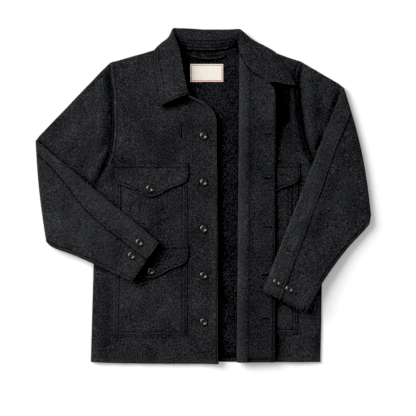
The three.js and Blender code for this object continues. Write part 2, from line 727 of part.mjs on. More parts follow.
// The lower edge of a flap: straight sides, then a scallop that comes to a round point.
const flapDrop = through(
  [
    { part: 0, drop: FLAP_SIDE },
    { part: 0.06, drop: FLAP_SIDE + 9 },
    { part: 0.25, drop: FLAP_SIDE + 22 },
    { part: 0.42, drop: FLAP_DEPTH - 3 },
    { part: 0.5, drop: FLAP_DEPTH },
    { part: 0.58, drop: FLAP_DEPTH - 3 },
    { part: 0.75, drop: FLAP_SIDE + 22 },
    { part: 0.94, drop: FLAP_SIDE + 9 },
    { part: 1, drop: FLAP_SIDE },
  ],
  "part",
  "drop",
);

function makeFlap(outerX, towards, shownWidth, top, under) {
  const columns = 14;
  const rows = 3;
  return lyingWall(
    columns,
    rows,
    (i, j) => {
      const part = ((i / columns) * shownWidth) / FLAP_WIDTH;
      const y = mix(top - flapDrop(part), top, j / rows);
      return { x: outerX + towards * part * FLAP_WIDTH, y };
    },
    (x, y) => under(x, y) + 2 * LAYER,
  );
}

function makeLabel() {
  return lyingWall(
    4,
    3,
    (i, j) => ({ x: LABEL.x + (LABEL.wide * i) / 4, y: LABEL.y + (LABEL.high * j) / 3 }),
    (x, y) => backUnder(x, y) + LAYER,
    LABEL.thick,
  );
}

function makeHangerLoop() {
  const columns = 14;
  return lyingWall(
    columns,
    1,
    (i, j) => {
      const part = i / columns;
      const y = LOOP.endY - LOOP.sag * Math.sin(Math.PI * part) ** 0.7 - LOOP.wide * (1 - j);
      return { x: mix(LOOP.from, LOOP.to, part), y };
    },
    () => FALL_RAISE + LAYER,
    LOOP.thick,
  );
}

// A dished button: a flat foot, a round rim and a hollow middle.
function buttonGeometry() {
  const { radius, thick, rim, dish, sides } = BUTTON;
  const profile = [
    [0, 0],
    [radius * 0.72, 0],
    [radius, thick * 0.45],
    [radius - rim * 0.25, thick],
    [radius - rim, thick],
    [radius - rim * 1.8, dish],
    [0, dish],
  ].map(([r, z]) => new THREE.Vector2(r, z));
  return new THREE.LatheGeometry(profile, sides).rotateX(Math.PI / 2);
}

const jacket = new THREE.Group();
const woolColour = 0x26272a;
const wool = () => new THREE.MeshStandardMaterial({ color: woolColour, roughness: 0.95 });

function add(name, geometry, material = wool()) {
  const mesh = new THREE.Mesh(geometry, material);
  mesh.name = name;
  jacket.add(mesh);
  return mesh;
}

// A button seated on a surface, square to it: seat(x, y) gives the height of the cloth there.
function addButton(name, x, y, seat) {
  const step = 4;
  const normal = new THREE.Vector3(
    (seat(x - step, y) - seat(x + step, y)) / (2 * step),
    (seat(x, y - step) - seat(x, y + step)) / (2 * step),
    1,
  ).normalize();
  const horn = new THREE.MeshStandardMaterial({ color: 0x0b0b0c, roughness: 0.25 });
  const button = add(name, buttonGeometry(), horn);
  button.position.set(x, y, seat(x, y)).addScaledVector(normal, SEAM);
  button.quaternion.setFromUnitVectors(new THREE.Vector3(0, 0, 1), normal);
}

add("back", makeBack());
add("front_right", makeRightFront());
add("front_left", makeLeftFront());
add("facing_left", makeFacing());
add("collar", makeCollar());

const rightForm = sleeveForm(RIGHT_SLEEVE, rightSide);
const leftForm = sleeveForm(LEFT_SLEEVE, leftSide);
for (const [side, form] of Object.entries({ right: rightForm, left: leftForm })) {
  add(`sleeve_${side}_top`, makeTopSleeve(form));
  add(`sleeve_${side}_under`, makeUnderSleeve(form));
}

add("pocket_right", makePocket(RIGHT_POCKET, rightFrontUnder));
add("pocket_left", makePocket(LEFT_POCKET, leftFrontUnder));
["upper", "lower"].forEach((which, n) => {
  const top = FLAP_TOPS[n];
  add(`flap_right_${which}`, makeFlap(RIGHT_FLAP_X, -1, FLAP_WIDTH, top, rightFrontUnder));
  const shown = LEFT_FLAP_X - LEFT_FLAP_INNER_X;
  add(`flap_left_${which}`, makeFlap(LEFT_FLAP_X, -1, shown, top, leftFrontUnder));
});

add("label", makeLabel(), new THREE.MeshStandardMaterial({ color: 0xf1ebe0, roughness: 0.8 }));
add("hanger_loop", makeHangerLoop());

const frontTop = (x, y) => rightFrontUnder(x, y) + CLOTH;
for (let n = 0; n < FRONT_BUTTONS; n += 1) {
  const y = FRONT_BUTTON_TOP_Y - n * FRONT_BUTTON_PITCH;
  addButton(`button_front_${n + 1}`, FRONT_BUTTON_X, y, frontTop);
}
for (const { name, x, y } of FLAP_BUTTONS) {
  addButton(name, x, y, (u, v) => frontTop(u, v) + 2 * LAYER);
}
for (const [side, form] of Object.entries({ right: rightForm, left: leftForm })) {
  CUFF_BUTTONS[side].forEach(({ part, share }, n) => {
    const place = form.point(2 + part, share, 0);
    const ahead = form.point(2 + part + 0.01, share, 0).sub(place);
    const slope = ahead.z / Math.hypot(ahead.x, ahead.y) ** 2;
    const seat = (x, y) =>
      place.z + slope * ((x - place.x) * ahead.x + (y - place.y) * ahead.y);
    addButton(`button_cuff_${side}_${n + 1}`, place.x, place.y, seat);
  });
}

// The origin goes under the middle of the jacket.
const box = new THREE.Box3().setFromObject(jacket);
const middle = box.getCenter(new THREE.Vector3());
jacket.position.set(-middle.x, -middle.y, -box.min.z);

export default jacket;
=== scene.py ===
# %% [markdown]
# # A wool mackinaw jacket, laid flat
# The jacket lies face up on a pale floor. Its right front is closed over the back, its left front is
# turned back on itself, and both sleeves are folded over at the elbow. Every panel here is a wall of
# cloth worked out with numpy from a few short tables, in millimetres, and put into the same frame as
# the solid model that this script starts from.

import bpy
import numpy as np
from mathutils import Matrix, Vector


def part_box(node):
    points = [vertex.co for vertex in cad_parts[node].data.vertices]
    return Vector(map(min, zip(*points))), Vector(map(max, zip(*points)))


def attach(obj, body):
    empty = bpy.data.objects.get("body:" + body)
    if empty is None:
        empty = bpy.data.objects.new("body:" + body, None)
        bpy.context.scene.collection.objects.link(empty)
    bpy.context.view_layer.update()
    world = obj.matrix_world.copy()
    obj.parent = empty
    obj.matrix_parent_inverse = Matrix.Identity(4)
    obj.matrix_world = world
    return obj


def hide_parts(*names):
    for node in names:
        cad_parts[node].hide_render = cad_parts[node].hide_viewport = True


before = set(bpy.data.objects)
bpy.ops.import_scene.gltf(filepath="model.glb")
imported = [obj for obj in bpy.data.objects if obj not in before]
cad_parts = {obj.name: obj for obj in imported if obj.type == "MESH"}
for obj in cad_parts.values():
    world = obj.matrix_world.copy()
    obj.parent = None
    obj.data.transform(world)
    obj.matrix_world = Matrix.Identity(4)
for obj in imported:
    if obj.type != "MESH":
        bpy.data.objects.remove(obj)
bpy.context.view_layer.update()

# %% [markdown]
# ## Sizes that every piece shares
# The back is the datum: its hem and its right side say where the tables' zero lies in the frame.
# Heights go up in layers. A layer is the cloth's thickness and the small gap of a seam.

# %% Common sizes
MM = 0.001
CLOTH = 2.0
SEAM = 0.3
LAYER = CLOTH + SEAM
BUTTING = 0.5
HEM_Y = -404.0
HEM_RIGHT_X = -273.0
back_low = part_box("back")[0]
SHIFT = np.array([back_low[0] / MM - HEM_RIGHT_X, back_low[1] / MM - HEM_Y, 0.0])
print("the tables are shifted by", SHIFT.round(2), "mm")

# %% [markdown]
# ## Tables and the curves through them
# A maker's pattern is a few measured points joined by a smooth line. Straight segments would show as
# corners, and a free spline could swing past its points, so the curve here is a cubic whose slope at
# each row is the harmonic mean of its neighbours' slopes, or level where they differ in sign.


# %% Tables
def table(columns, *rows):
    """A short table: one array for each named column."""
    return dict(zip(columns.split(), np.array(rows, float).T))


def smooth(t):
    """3 t squared minus 2 t cubed, held at 0 and 1 outside."""
    t = np.clip(t, 0, 1)
    return t * t * (3 - 2 * t)


def mix(a, b, t):
    """a at t = 0 and b at t = 1."""
    return a + (b - a) * t


def bell(distance, wide, power=2):
    """e to the minus (distance / wide) to the power: 1 in the middle, and near 0 from twice wide."""
    return np.exp(-((distance / wide) ** power))


def between(at, low, high, ease, high_ease=None):
    """1 between low and high and 0 outside, with a smooth step of ease inwards from each of them."""
    return smooth((at - low) / ease) * smooth((high - at) / (high_ease or ease))


def arch(part):
    """The sine of half a turn: 0 at both ends and 1 in the middle."""
    return np.sin(np.pi * np.clip(part, 0, 1))


def grid(first, second):
    """The two parameters of a grid: the first runs down its rows, the second along its columns."""
    return np.meshgrid(first, second, indexing="ij")


def tangents(slope):
    """At each knot, the harmonic mean of the slopes beside it, or 0 where they differ in sign."""
    before, after = np.concatenate([slope[:1], slope]), np.concatenate([slope, slope[-1:]])
    level = before * after <= 0
    return np.where(level, 0, 2 * before * after / np.where(level, 1, before + after))


def through(rows, key, value):
    """The smooth curve of value over key: on each span, a smoothstep plus the slopes at its ends."""
    t, p = rows[key], rows[value]
    tangent = tangents(np.diff(p) / np.diff(t))

    def at(x):
        x = np.clip(x, t[0], t[-1])
        i = np.clip(np.searchsorted(t, x, side="right") - 1, 0, len(t) - 2)
        span = t[i + 1] - t[i]
        s = (x - t[i]) / span
        ends = s * (1 - s) ** 2 * tangent[i] - s * s * (1 - s) * tangent[i + 1]
        return mix(p[i], p[i + 1], smooth(s)) + span * ends

    return at


FOLD_COLUMNS = "x y turn long wide high"


def folds(rows, x, y):
    """Soft ridges and troughs: high times a bell along and across each row's line, all added."""
    total = np.zeros(np.broadcast(x, y).shape)
    for fx, fy, turn, long, wide, high in zip(*(rows[key] for key in FOLD_COLUMNS.split())):
        c, s = np.cos(np.radians(turn)), np.sin(np.radians(turn))
        along, off = (x - fx) * c + (y - fy) * s, (y - fy) * c - (x - fx) * s
        total += high * np.exp(-((along / long) ** 2) - (off / wide) ** 2)
    return total


# %% [markdown]
# ## A wall of cloth
# Real cloth has two faces and an edge. A grid of points is the middle of the cloth, and the two faces
# lie half a thickness away along its normal. The thickness rounds off at the border, as the turned edge
# of milled wool does, and it is pinched along each row of stitches, where the thread pulls it in. The
# stitches themselves are small capsules, all of one garment piece joined into one mesh later.


# %% Grids
EDGE_WIDE = 2.0
EDGE_ROWS = np.array([0, 0.12, 0.4, 0.7])
STITCH_STEP, NEAREST = 1.2, 0.5


def shares(count, length):
    """Count shares from 0 to 1 of a length in mm, with four more packed into the edge at each end."""
    packed = EDGE_WIDE / length * EDGE_ROWS
    inner = np.linspace(EDGE_WIDE / length, 1 - EDGE_WIDE / length, count)
    return np.concatenate([packed, inner, 1 - packed[::-1]])


def denser(at, length, insets, ends=(0, 1)):
    """The shares, with five more set close together round each inset in mm from the ends."""
    close = np.array([inset + STITCH_STEP * step for inset in insets for step in (-2, -1, 0, 1, 2)]) / length
    close = np.concatenate([close if end == 0 else 1 - close for end in ends])
    apart = np.abs(at[:, None] - close).min(1) > NEAREST / length
    return np.sort(np.r_[at[apart], close])


def normals(points):
    """The unit cross product of the grid's two directions."""
    n = np.cross(np.gradient(points, axis=0), np.gradient(points, axis=1))
    return n / np.maximum(np.linalg.norm(n, axis=-1, keepdims=True), 1e-9)


def side_distance(points, side):
    """How far each point is from one side of the grid: u0, u1, v0 or v1, measured along the cloth."""
    axis = 0 if side[0] == "u" else 1
    steps = np.linalg.norm(np.diff(points, axis=axis), axis=-1)
    zero = np.zeros_like(np.take(steps, [0], axis))
    far = np.concatenate([zero, np.cumsum(steps, axis)], axis)
    return far if side[1] == "0" else np.take(far, [-1], axis) - far


def border_distance(points, sides=("u0", "u1", "v0", "v1")):
    return np.minimum.reduce([side_distance(points, side) for side in sides])


# %% Meshes
def put(name, points, faces):
    """A mesh object from points in mm and faces, with its faces turned outwards by its volume."""
    first = [face[:3] for face in faces]
    corners = points[np.array(first)]
    if np.einsum("ij,ij->i", corners[:, 0], np.cross(corners[:, 1], corners[:, 2])).sum() < 0:
        faces = [face[::-1] for face in faces]
    mesh = bpy.data.meshes.new(name)
    mesh.from_pydata(((points + SHIFT) * MM).tolist(), [], faces)
    mesh.polygons.foreach_set("use_smooth", np.ones(len(mesh.polygons), bool))
    mesh.update()
    piece = bpy.data.objects.new(name, mesh)
    bpy.context.scene.collection.objects.link(piece)
    return piece


def shell(name, outer, inner, worn=None, inside=0):
    """A closed wall: the two grids, and a rim of faces round their common border.

    The fourth argument is painted shading, a value at each grid point from -2 to 1. The wool's material
    paints shade on the cloth where it is above 0 and paints light where it is below. Inside is the finish
    of the inner face.
    """
    n, m = outer.shape[:2]
    index = np.arange(n * m).reshape(n, m)
    quads = np.stack([index[:-1, :-1], index[1:, :-1], index[1:, 1:], index[:-1, 1:]], -1)
    quads = quads.reshape(-1, 4)
    rim = np.concatenate([index[:, 0], index[-1, 1:], index[-2::-1, -1], index[0, -2:0:-1]])
    after = np.roll(rim, -1)
    edge = np.stack([after, rim, rim + n * m, after + n * m], -1)
    faces = np.concatenate([quads, quads[:, ::-1] + n * m, edge]).tolist()
    piece = put(name, np.concatenate([outer.reshape(-1, 3), inner.reshape(-1, 3)]), faces)
    worn = np.zeros((n, m)) if worn is None else worn
    # The point attribute holds painted shade above 0 and painted light below 0, for the wool's material
    attribute = piece.data.attributes.new("worn", "FLOAT", "POINT")
    attribute.data.foreach_set("value", np.tile(worn.ravel(), 2).astype(np.float32))
    finish = np.zeros(len(faces), np.int32)
    finish[len(quads):2 * len(quads)] = inside
    piece.data.polygons.foreach_set("material_index", finish)
    return piece


# %% Stitches
STITCH = dict(long=3.0, pitch=4.1, radius=0.42, lift=0.12)
sewn = {}


def on_grid(grid, u, v):
    """Bilinear value of a grid at fractional indices."""
    i = np.clip(u.astype(int), 0, grid.shape[0] - 2)
    j = np.clip(v.astype(int), 0, grid.shape[1] - 2)
    s, t = (u - i)[:, None], (v - j)[:, None]
    low = mix(grid[i, j], grid[i + 1, j], s)
    return mix(low, mix(grid[i, j + 1], grid[i + 1, j + 1], s), t)


def sew(thread, places, up):
    """Keeps the place, direction and normal of a stitch at every pitch along a line of points."""
    far = np.r_[0, np.cumsum(np.linalg.norm(np.diff(places, axis=0), axis=1))]
    at = np.arange(STITCH["pitch"] / 2, far[-1], STITCH["pitch"])
    if len(at) < 2:
        return
    place = np.stack([np.interp(at, far, places[:, k]) for k in range(3)], -1)
    normal = np.stack([np.interp(at, far, up[:, k]) for k in range(3)], -1)
    way = np.gradient(place, axis=0)
    way /= np.linalg.norm(way, axis=1, keepdims=True)
    sewn.setdefault(thread, []).append(np.stack([place, way, normal], 1))


def seam_line(surface, side, inset, span=(0, 1)):
    """Fractional grid indices of the line that runs at an inset from one side of the cloth."""
    far = side_distance(surface, side)
    far = far if side[0] == "u" else far.T
    order = slice(None) if side[1] == "0" else slice(None, None, -1)
    rows = np.arange(len(far))[order]
    across = np.array([np.interp(inset, line, rows) for line in far[order].T])
    along = np.arange(len(across), dtype=float)
    first, last = (int(share * (len(along) - 1)) for share in span)
    u, v = (across, along) if side[0] == "u" else (along, across)
    return u[first:last + 1], v[first:last + 1]


# %% [markdown]
# Wool isn't one even tone, and its grain is its own. The value set here is painted shading: it is high
# for painted shade in the stitch grooves and along the cloth's edges, and low for a painted highlight
# where a doubled band stands up into the light. The patch table adds broad painted shade and light.

# %% Cloth
EDGE_ROUND, EDGE_THIN = 1.8, 0.06
PINCH, PINCH_WIDE = 0.85, 2.1
LAP_STEP = 2.2
# EDGE_SHADE is how far in mm the painted shade along each edge of the cloth reaches
EDGE_SHADE = 0.9
PAINTED_LEAST, PAINTED_MOST = -2, 1
# Broad patches of painted shade above 0 and painted light below 0, where the light falls unevenly; the last
# row is a painted shadow beside the right pocket
PAINTED_PATCHES = table(
    FOLD_COLUMNS,
    (-105, 130, 20, 90, 60, 0.35), (-130, -250, 0, 90, 70, -0.5), (-300, 170, 50, 110, 60, -0.45),
    (-85, 300, 90, 70, 40, -0.5), (255, -300, 90, 100, 40, -0.5), (8, -100, 90, 260, 20, 0.4),
    (-45, -60, 90, 120, 18, -0.6), (-231, -275, 88, 70, 11, 0.8),
)


def segment_distance(x, y, a, b):
    """The distance in plan from the line between a and b."""
    d = np.subtract(b, a)
    t = np.clip(((x - a[0]) * d[0] + (y - a[1]) * d[1]) / (d @ d), 0, 1)
    return np.hypot(x - a[0] - t * d[0], y - a[1] - t * d[1])


def within(shape, side, start, end):
    """True where the grid is between two shares of the length of a side."""
    axis = 1 if side[0] == "u" else 0
    along = np.linspace(0, 1, shape[axis])
    inside = (along >= start) & (along <= end)
    return np.broadcast_to(inside[None, :] if axis else inside[:, None], shape)


def cloth(name, middle, thick=CLOTH, seams=(), laps=(), lines=(), flat=(), out=1, worn=0.0, inside=0):
    """Faces at middle plus and minus half the thickness along the normal.

    Half is thick / 2 times the square root of 1 - (1 - d / round) squared near the border, less a
    pinch along each seam or line. A seam is (side, inset, from, to), and may end with its pinch's
    strength. A line is two plan points, and one in flat is sewn without a pinch. A lap is (side, wide,
    high, from, to): the cloth is doubled there, so its outer face is higher.
    """
    normal = normals(middle) * out
    border = np.clip(border_distance(middle) / EDGE_ROUND, 0, 1)
    half = thick / 2 * np.maximum(np.sqrt(1 - (1 - border) ** 2), EDGE_THIN)
    pinch, lap = np.zeros(half.shape), np.zeros(half.shape)
    for side, inset, start, end, *deep in seams:
        near = (deep or [1])[0] * bell(side_distance(middle, side) - inset, PINCH_WIDE)
        pinch = np.maximum(pinch, np.where(within(half.shape, side, start, end), near, 0))
    for a, b in lines:
        off = segment_distance(middle[..., 0], middle[..., 1], a, b)
        pinch = np.maximum(pinch, bell(off, PINCH_WIDE))
    for side, wide, high, start, end in laps:
        step = 1 - smooth((side_distance(middle, side) - wide + LAP_STEP) / LAP_STEP)
        lap = np.maximum(lap, np.where(within(half.shape, side, start, end), high * step, 0))
    half = half - PINCH * pinch * thick / 2
    outer = middle + normal * (half + lap * border)[..., None]
    inner = middle - normal * half[..., None]
    for side, inset, start, end, *_ in seams:
        u, v = seam_line(middle, side, inset, (start, end))
        sew(name, on_grid(outer, u, v), on_grid(normal, u, v))
        sew(name, on_grid(inner, u, v), -on_grid(normal, u, v))
    for a, b in (*lines, *flat):
        t = np.linspace(0, 1, 60)
        sew(name, *drop_on(outer, normal, mix(a[0], b[0], t), mix(a[1], b[1], t)))
    # Painted shading: painted shade in each stitch groove and along every edge, a painted highlight on each
    # doubled band, and the painted patches
    band = lap / lap.max() * (1 - pinch) if len(laps) else 0
    edge = bell(border * EDGE_ROUND, EDGE_SHADE)
    dark = pinch + edge + worn - band + folds(PAINTED_PATCHES, middle[..., 0], middle[..., 1])
    return shell(name, outer, inner, np.clip(dark, PAINTED_LEAST, PAINTED_MOST), inside)


def drop_on(surface, normal, x, y):
    """The grid points nearest in plan to a line of plan points, with their normals."""
    flat, up = surface.reshape(-1, 3), normal.reshape(-1, 3)
    flat, up = flat[up[:, 2] > 0], up[up[:, 2] > 0]
    near = np.argmin((flat[:, :1] - x) ** 2 + (flat[:, 1:2] - y) ** 2, axis=0)
    return np.stack([x, y, flat[near, 2]], -1), up[near]


# %% [markdown]
# ## Finishes
# Milled wool is dark fibre with a few pale ones blended in before spinning, so it reads as a fine
# heather: grains a few millimetres across, with broad soft patches over them. Noise on Object
# coordinates gives both, and the same noise raises a low nap through a bump. A little sheen stands for
# the fuzz that catches light at a slant.


# %% Materials
def new_material(name):
    material = bpy.data.materials.new(name)
    material.use_nodes = True
    tree = material.node_tree
    return material, tree, tree.nodes["Principled BSDF"]


def noise(tree, scale, detail=2.0, rough=0.55, stretch=None):
    """A noise texture on Object coordinates, with grains about 1 / scale metres across."""
    place = tree.nodes.new("ShaderNodeTexCoord").outputs["Object"]
    if stretch:
        mapping = tree.nodes.new("ShaderNodeMapping")
        mapping.inputs["Scale"].default_value = stretch
        tree.links.new(place, mapping.inputs["Vector"])
        place = mapping.outputs["Vector"]
    texture = tree.nodes.new("ShaderNodeTexNoise")
    texture.inputs["Scale"].default_value = scale
    texture.inputs["Detail"].default_value = detail
    texture.inputs["Roughness"].default_value = rough
    tree.links.new(place, texture.inputs["Vector"])
    return texture.outputs["Fac"]


def maths(tree, kind, a, b):
    node = tree.nodes.new("ShaderNodeMath")
    node.operation = kind
    for socket, value in zip(node.inputs, (a, b)):
        if isinstance(value, (int, float)):
            socket.default_value = value
        else:
            tree.links.new(value, socket)
    return node.outputs[0]


def ramp(tree, factor, *stops):
    """A colour ramp through (position, colour) stops."""
    node = tree.nodes.new("ShaderNodeValToRGB")
    elements = node.color_ramp.elements
    while len(elements) < len(stops):
        elements.new(0.5)
    for element, (position, colour) in zip(elements, stops):
        element.position = position
        element.color = (*colour, 1)
    tree.links.new(factor, node.inputs["Fac"])
    return node.outputs["Color"]


def bump(tree, shader, height, distance, strength=1.0):
    node = tree.nodes.new("ShaderNodeBump")
    node.inputs["Strength"].default_value = strength
    node.inputs["Distance"].default_value = distance
    tree.links.new(height, node.inputs["Height"])
    tree.links.new(node.outputs["Normal"], shader.inputs["Normal"])


WOOL_DARK = (0.0055, 0.0057, 0.0061)
WOOL_MID = (0.0152, 0.0158, 0.0167)
WOOL_PALE = (0.059, 0.0606, 0.0632)
WOOL_STOPS = (0.38, 0.5, 0.64)
WOOL_NOISES = table(
    "scale detail rough weight",
    (330, 2.5, 0.62, 0.6), (800, 1.5, 0.6, 0.26), (13, 2.5, 0.55, 0.14),
)
# How far painted shade takes the wool towards the dark, and painted light towards the pale
PAINTED_SHADE_MIX, PAINTED_LIGHT_MIX = 0.76, 0.12


def towards(tree, colour, amount, target):
    """The colour, mixed with a fixed target by an amount from 0 to 1."""
    node = tree.nodes.new("ShaderNodeMix")
    node.data_type = "RGBA"
    tree.links.new(amount, node.inputs["Factor"])
    tree.links.new(colour, node.inputs["A"])
    node.inputs["B"].default_value = (*target, 1)
    return node.outputs["Result"]


def wool_material(name, light=1.0):
    """Heather: grains, fibres and patches added into one factor that picks from dark to pale.

    The painted shading attribute takes the colour towards the dark where it is above 0, as painted shade,
    and towards the pale where it is below 0, as painted light. The mix holds an amount that is under 0 at 0.
    """
    material, tree, shader = new_material(name)
    parts = [
        maths(tree, "MULTIPLY", noise(tree, *numbers[:3]), numbers[3])
        for numbers in zip(*(WOOL_NOISES[key].tolist() for key in WOOL_NOISES))
    ]
    factor = maths(tree, "ADD", maths(tree, "ADD", parts[0], parts[1]), parts[2])
    tones = [tuple(light * channel for channel in tone) for tone in (WOOL_DARK, WOOL_MID, WOOL_PALE)]
    colour = ramp(tree, factor, *zip(WOOL_STOPS, tones))
    worn = tree.nodes.new("ShaderNodeAttribute")
    worn.attribute_name = "worn"
    # Painted shade, then painted light, from the point attribute
    colour = towards(tree, colour, maths(tree, "MULTIPLY", worn.outputs["Fac"], PAINTED_SHADE_MIX), WOOL_DARK)
    colour = towards(tree, colour, maths(tree, "MULTIPLY", worn.outputs["Fac"], -PAINTED_LIGHT_MIX), WOOL_PALE)
    tree.links.new(colour, shader.inputs["Base Color"])
    shader.inputs["Roughness"].default_value = 0.95
    shader.inputs["Specular IOR Level"].default_value = 0.1
    shader.inputs["Sheen Weight"].default_value = 0.03
    shader.inputs["Sheen Roughness"].default_value = 0.6
    bump(tree, shader, factor, 0.004, 0.8)
    return material


def thread_material():
    material, tree, shader = new_material("dark_thread")
    twist = noise(tree, 1400, 1.0, 0.5)
    tree.links.new(
        ramp(tree, twist, (0.3, (0.004, 0.0044, 0.005)), (0.7, (0.012, 0.0126, 0.0138))),
        shader.inputs["Base Color"],
    )
    shader.inputs["Roughness"].default_value = 0.6
    shader.inputs["Specular IOR Level"].default_value = 0.25
    bump(tree, shader, twist, 0.0002)
    return material


def button_material():
    material, tree, shader = new_material("black_horn")
    cloud = noise(tree, 130, 3.0, 0.6, (1, 1, 3))
    tree.links.new(
        ramp(tree, cloud, (0.35, (0.0015, 0.0015, 0.0018)), (0.75, (0.006, 0.006, 0.0065))),
        shader.inputs["Base Color"],
    )
    shader.inputs["Roughness"].default_value = 0.22
    shader.inputs["Specular IOR Level"].default_value = 0.7
    bump(tree, shader, noise(tree, 300, 2.0, 0.5), 0.00005)
    return material


def label_material(name, low, high):
    """Satin weave: fine threads run across, as noise stretched along X."""
    material, tree, shader = new_material(name)
    weave = noise(tree, 900, 1.0, 0.5, (0.25, 1, 1))
    tree.links.new(ramp(tree, weave, (0.3, low), (0.7, high)), shader.inputs["Base Color"])
    shader.inputs["Roughness"].default_value = 0.55
    shader.inputs["Sheen Weight"].default_value = 0.1
    bump(tree, shader, weave, 0.0002)
    return material


wool = wool_material("heathered_wool")
# A copy of the wool at 0.7 of its tone: painted shade for the back's inside, which lies in shadow between
# the fronts
shaded_wool = wool_material("wool_with_painted_shade", 0.7)
thread = thread_material()
horn = button_material()
cream = label_material("cream_satin", (0.64, 0.59, 0.52), (0.78, 0.74, 0.68))
red = label_material("red_satin", (0.34, 0.03, 0.02), (0.5, 0.06, 0.04))
print("materials:", [material.name for material in bpy.data.materials])


# %% [markdown]
# Each finished piece takes the finishes it is given, rides on the garment's one body, and stands for the
# solid of the same name, which it hides.


# %% Finishing a piece
def finish_piece(piece, finishes, slot, *nodes):
    for material in np.atleast_1d(finishes):
        piece.data.materials.append(material)
    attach(piece, "root")
    if nodes:
        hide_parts(*nodes)


def panel(name, node, middle, rests_on, held="laid", finishes=(wool,), slot="wool", **make):
    """A cloth piece, made and finished."""
    piece = cloth(name, middle, **make)
    finish_piece(piece, finishes, slot, node)
    return piece


# %% [markdown]
# ## The body's outline
# The side edges run straight from row to row, so the sleeves meet them with an even gap. The outline is
# the solids' own, but the right front's top edge is measured more finely here.

# %% Outline tables
RIGHT_SIDE = table(
    "y x",
    (-404, -273), (-162, -266), (18, -261), (46, -246.5), (74, -232), (123, -219),
    (171, -216), (232, -217), (281, -222), (322, -227),
)
LEFT_SIDE = table(
    "y x",
    (-404, 284), (-210, 288), (47, 289), (66, 278.5), (86, 267), (123, 250),
    (166, 242), (208, 236), (256, 230.5), (286, 229), (324, 240),
)
RIGHT_HEM, LEFT_HEM = np.array([HEM_RIGHT_X, HEM_Y]), np.array([284.0, HEM_Y])
RIGHT_PIT, LEFT_PIT = np.array([-261.0, 18.0]), np.array([289.0, 47.0])
RIGHT_SHOULDER, LEFT_SHOULDER = np.array([-227.0, 322.0]), np.array([240.0, 324.0])
RIGHT_NECK, LEFT_NECK = np.array([-66.0, 368.0]), np.array([85.0, 375.0])
BACK_NECK_Y = 349.0
PANEL_ROWS = np.array([
    0, 0.13, 0.26, 0.38, 0.49, 0.5813, 0.6195, 0.66, 0.7, 0.745, 0.79, 0.835, 0.88, 0.925,
    0.965, 0.985, 1,
])
RIGHT_FRONT_TOP = table(
    "part y",
    (0, 176), (0.01, 189), (0.037, 206), (0.095, 221), (0.165, 231), (0.22, 237), (0.27, 244),
    (0.31, 256), (0.345, 285), (0.368, 325), (0.382, 367), (0.45, 362), (0.7, 343.8), (1, 322),
)
PLACKET = table("y x", (-408, 37), (171, 34), (260, 32))
RIGHT_HEM_DIP = 4.0


def side_edge(rows, shoulder_y):
    """Straight lines between the curve's points at the panel's rows."""
    y = mix(HEM_Y, shoulder_y, PANEL_ROWS)
    x = through(rows, "y", "x")(y)
    return lambda at: np.interp(at, y, x)


right_side = side_edge(RIGHT_SIDE, RIGHT_SHOULDER[1])
left_side = side_edge(LEFT_SIDE, LEFT_SHOULDER[1])
placket = through(PLACKET, "y", "x")


def back_top(x):
    """The back's top edge: straight shoulders, and between them a parabola at the neck."""
    shoulders = np.interp(x, *np.stack([RIGHT_SHOULDER, RIGHT_NECK, LEFT_NECK, LEFT_SHOULDER], -1))
    middle = (RIGHT_NECK[0] + LEFT_NECK[0]) / 2
    end = np.where(x < middle, RIGHT_NECK[1], LEFT_NECK[1])
    neck = mix(BACK_NECK_Y, end, ((x - middle) / (LEFT_NECK[0] - middle)) ** 2)
    return np.where((x < RIGHT_NECK[0]) | (x > LEFT_NECK[0]), shoulders, neck)


# %% [markdown]
# ## How the layers lie
# The back is flat on the floor, and rises only over the fall of the collar, which is under it. The
# fronts stay up off the back by their own stiffness. Their broad soft folds come from a table, and so
# do the small puckers round the buttons and the pockets, which the photograph shows.

# %% Heights
FALL_RAISE = LAYER + 2 * SEAM
FALL_RIGHT_X, FALL_LEFT_X, FALL_EASE = -150, 205, 30
FALL_NEAR, FALL_FAR = 12, 27
BODY_LOFT, LOFT_EASE = 4.5, 7.0
DIP_CLEAR, DIP_EASE = 20, 40
RIGHT_DIP, LEFT_DIP = dict(deep=2.4, wide=8), dict(deep=3.2, wide=14)
PLACKET_LIFT, PLACKET_REACH = 7.5, 30.0
FRONT_FOLDS = table(
    FOLD_COLUMNS,
    (-195, -250, 86, 130, 17, 1.1), (-245, -300, 92, 90, 12, -0.8), (-120, 150, 20, 90, 24, 1.1),
    (-60, 130, 80, 70, 16, -0.8), (-185, 250, 100, 60, 14, 1), (262, -300, 88, 110, 13, 1),
    (205, 140, 75, 60, 12, 0.9),
)


def back_under(x, y):
    """The floor, or over the collar's fall close to the top edge."""
    across = between(x, FALL_RIGHT_X, FALL_LEFT_X, FALL_EASE)
    return FALL_RAISE * across * smooth((FALL_FAR - back_top(x) + y) / (FALL_FAR - FALL_NEAR))


WAVES, WAVE_COUNT = np.random.default_rng(11), 30
WAVE_LONG = WAVES.uniform(26, 95, WAVE_COUNT)
WAVE_TURN, WAVE_PHASE = (WAVES.uniform(0, turn, WAVE_COUNT) for turn in (np.pi, 2 * np.pi))
WAVE_STEEP = 0.003


def unrest(x, y):
    """The sum of faint sine waves, 26 to 95 mm long, in seeded directions."""
    across = x[..., None] * np.cos(WAVE_TURN) + y[..., None] * np.sin(WAVE_TURN)
    return (WAVE_STEEP * WAVE_LONG * np.sin(2 * np.pi * across / WAVE_LONG + WAVE_PHASE)).sum(-1)


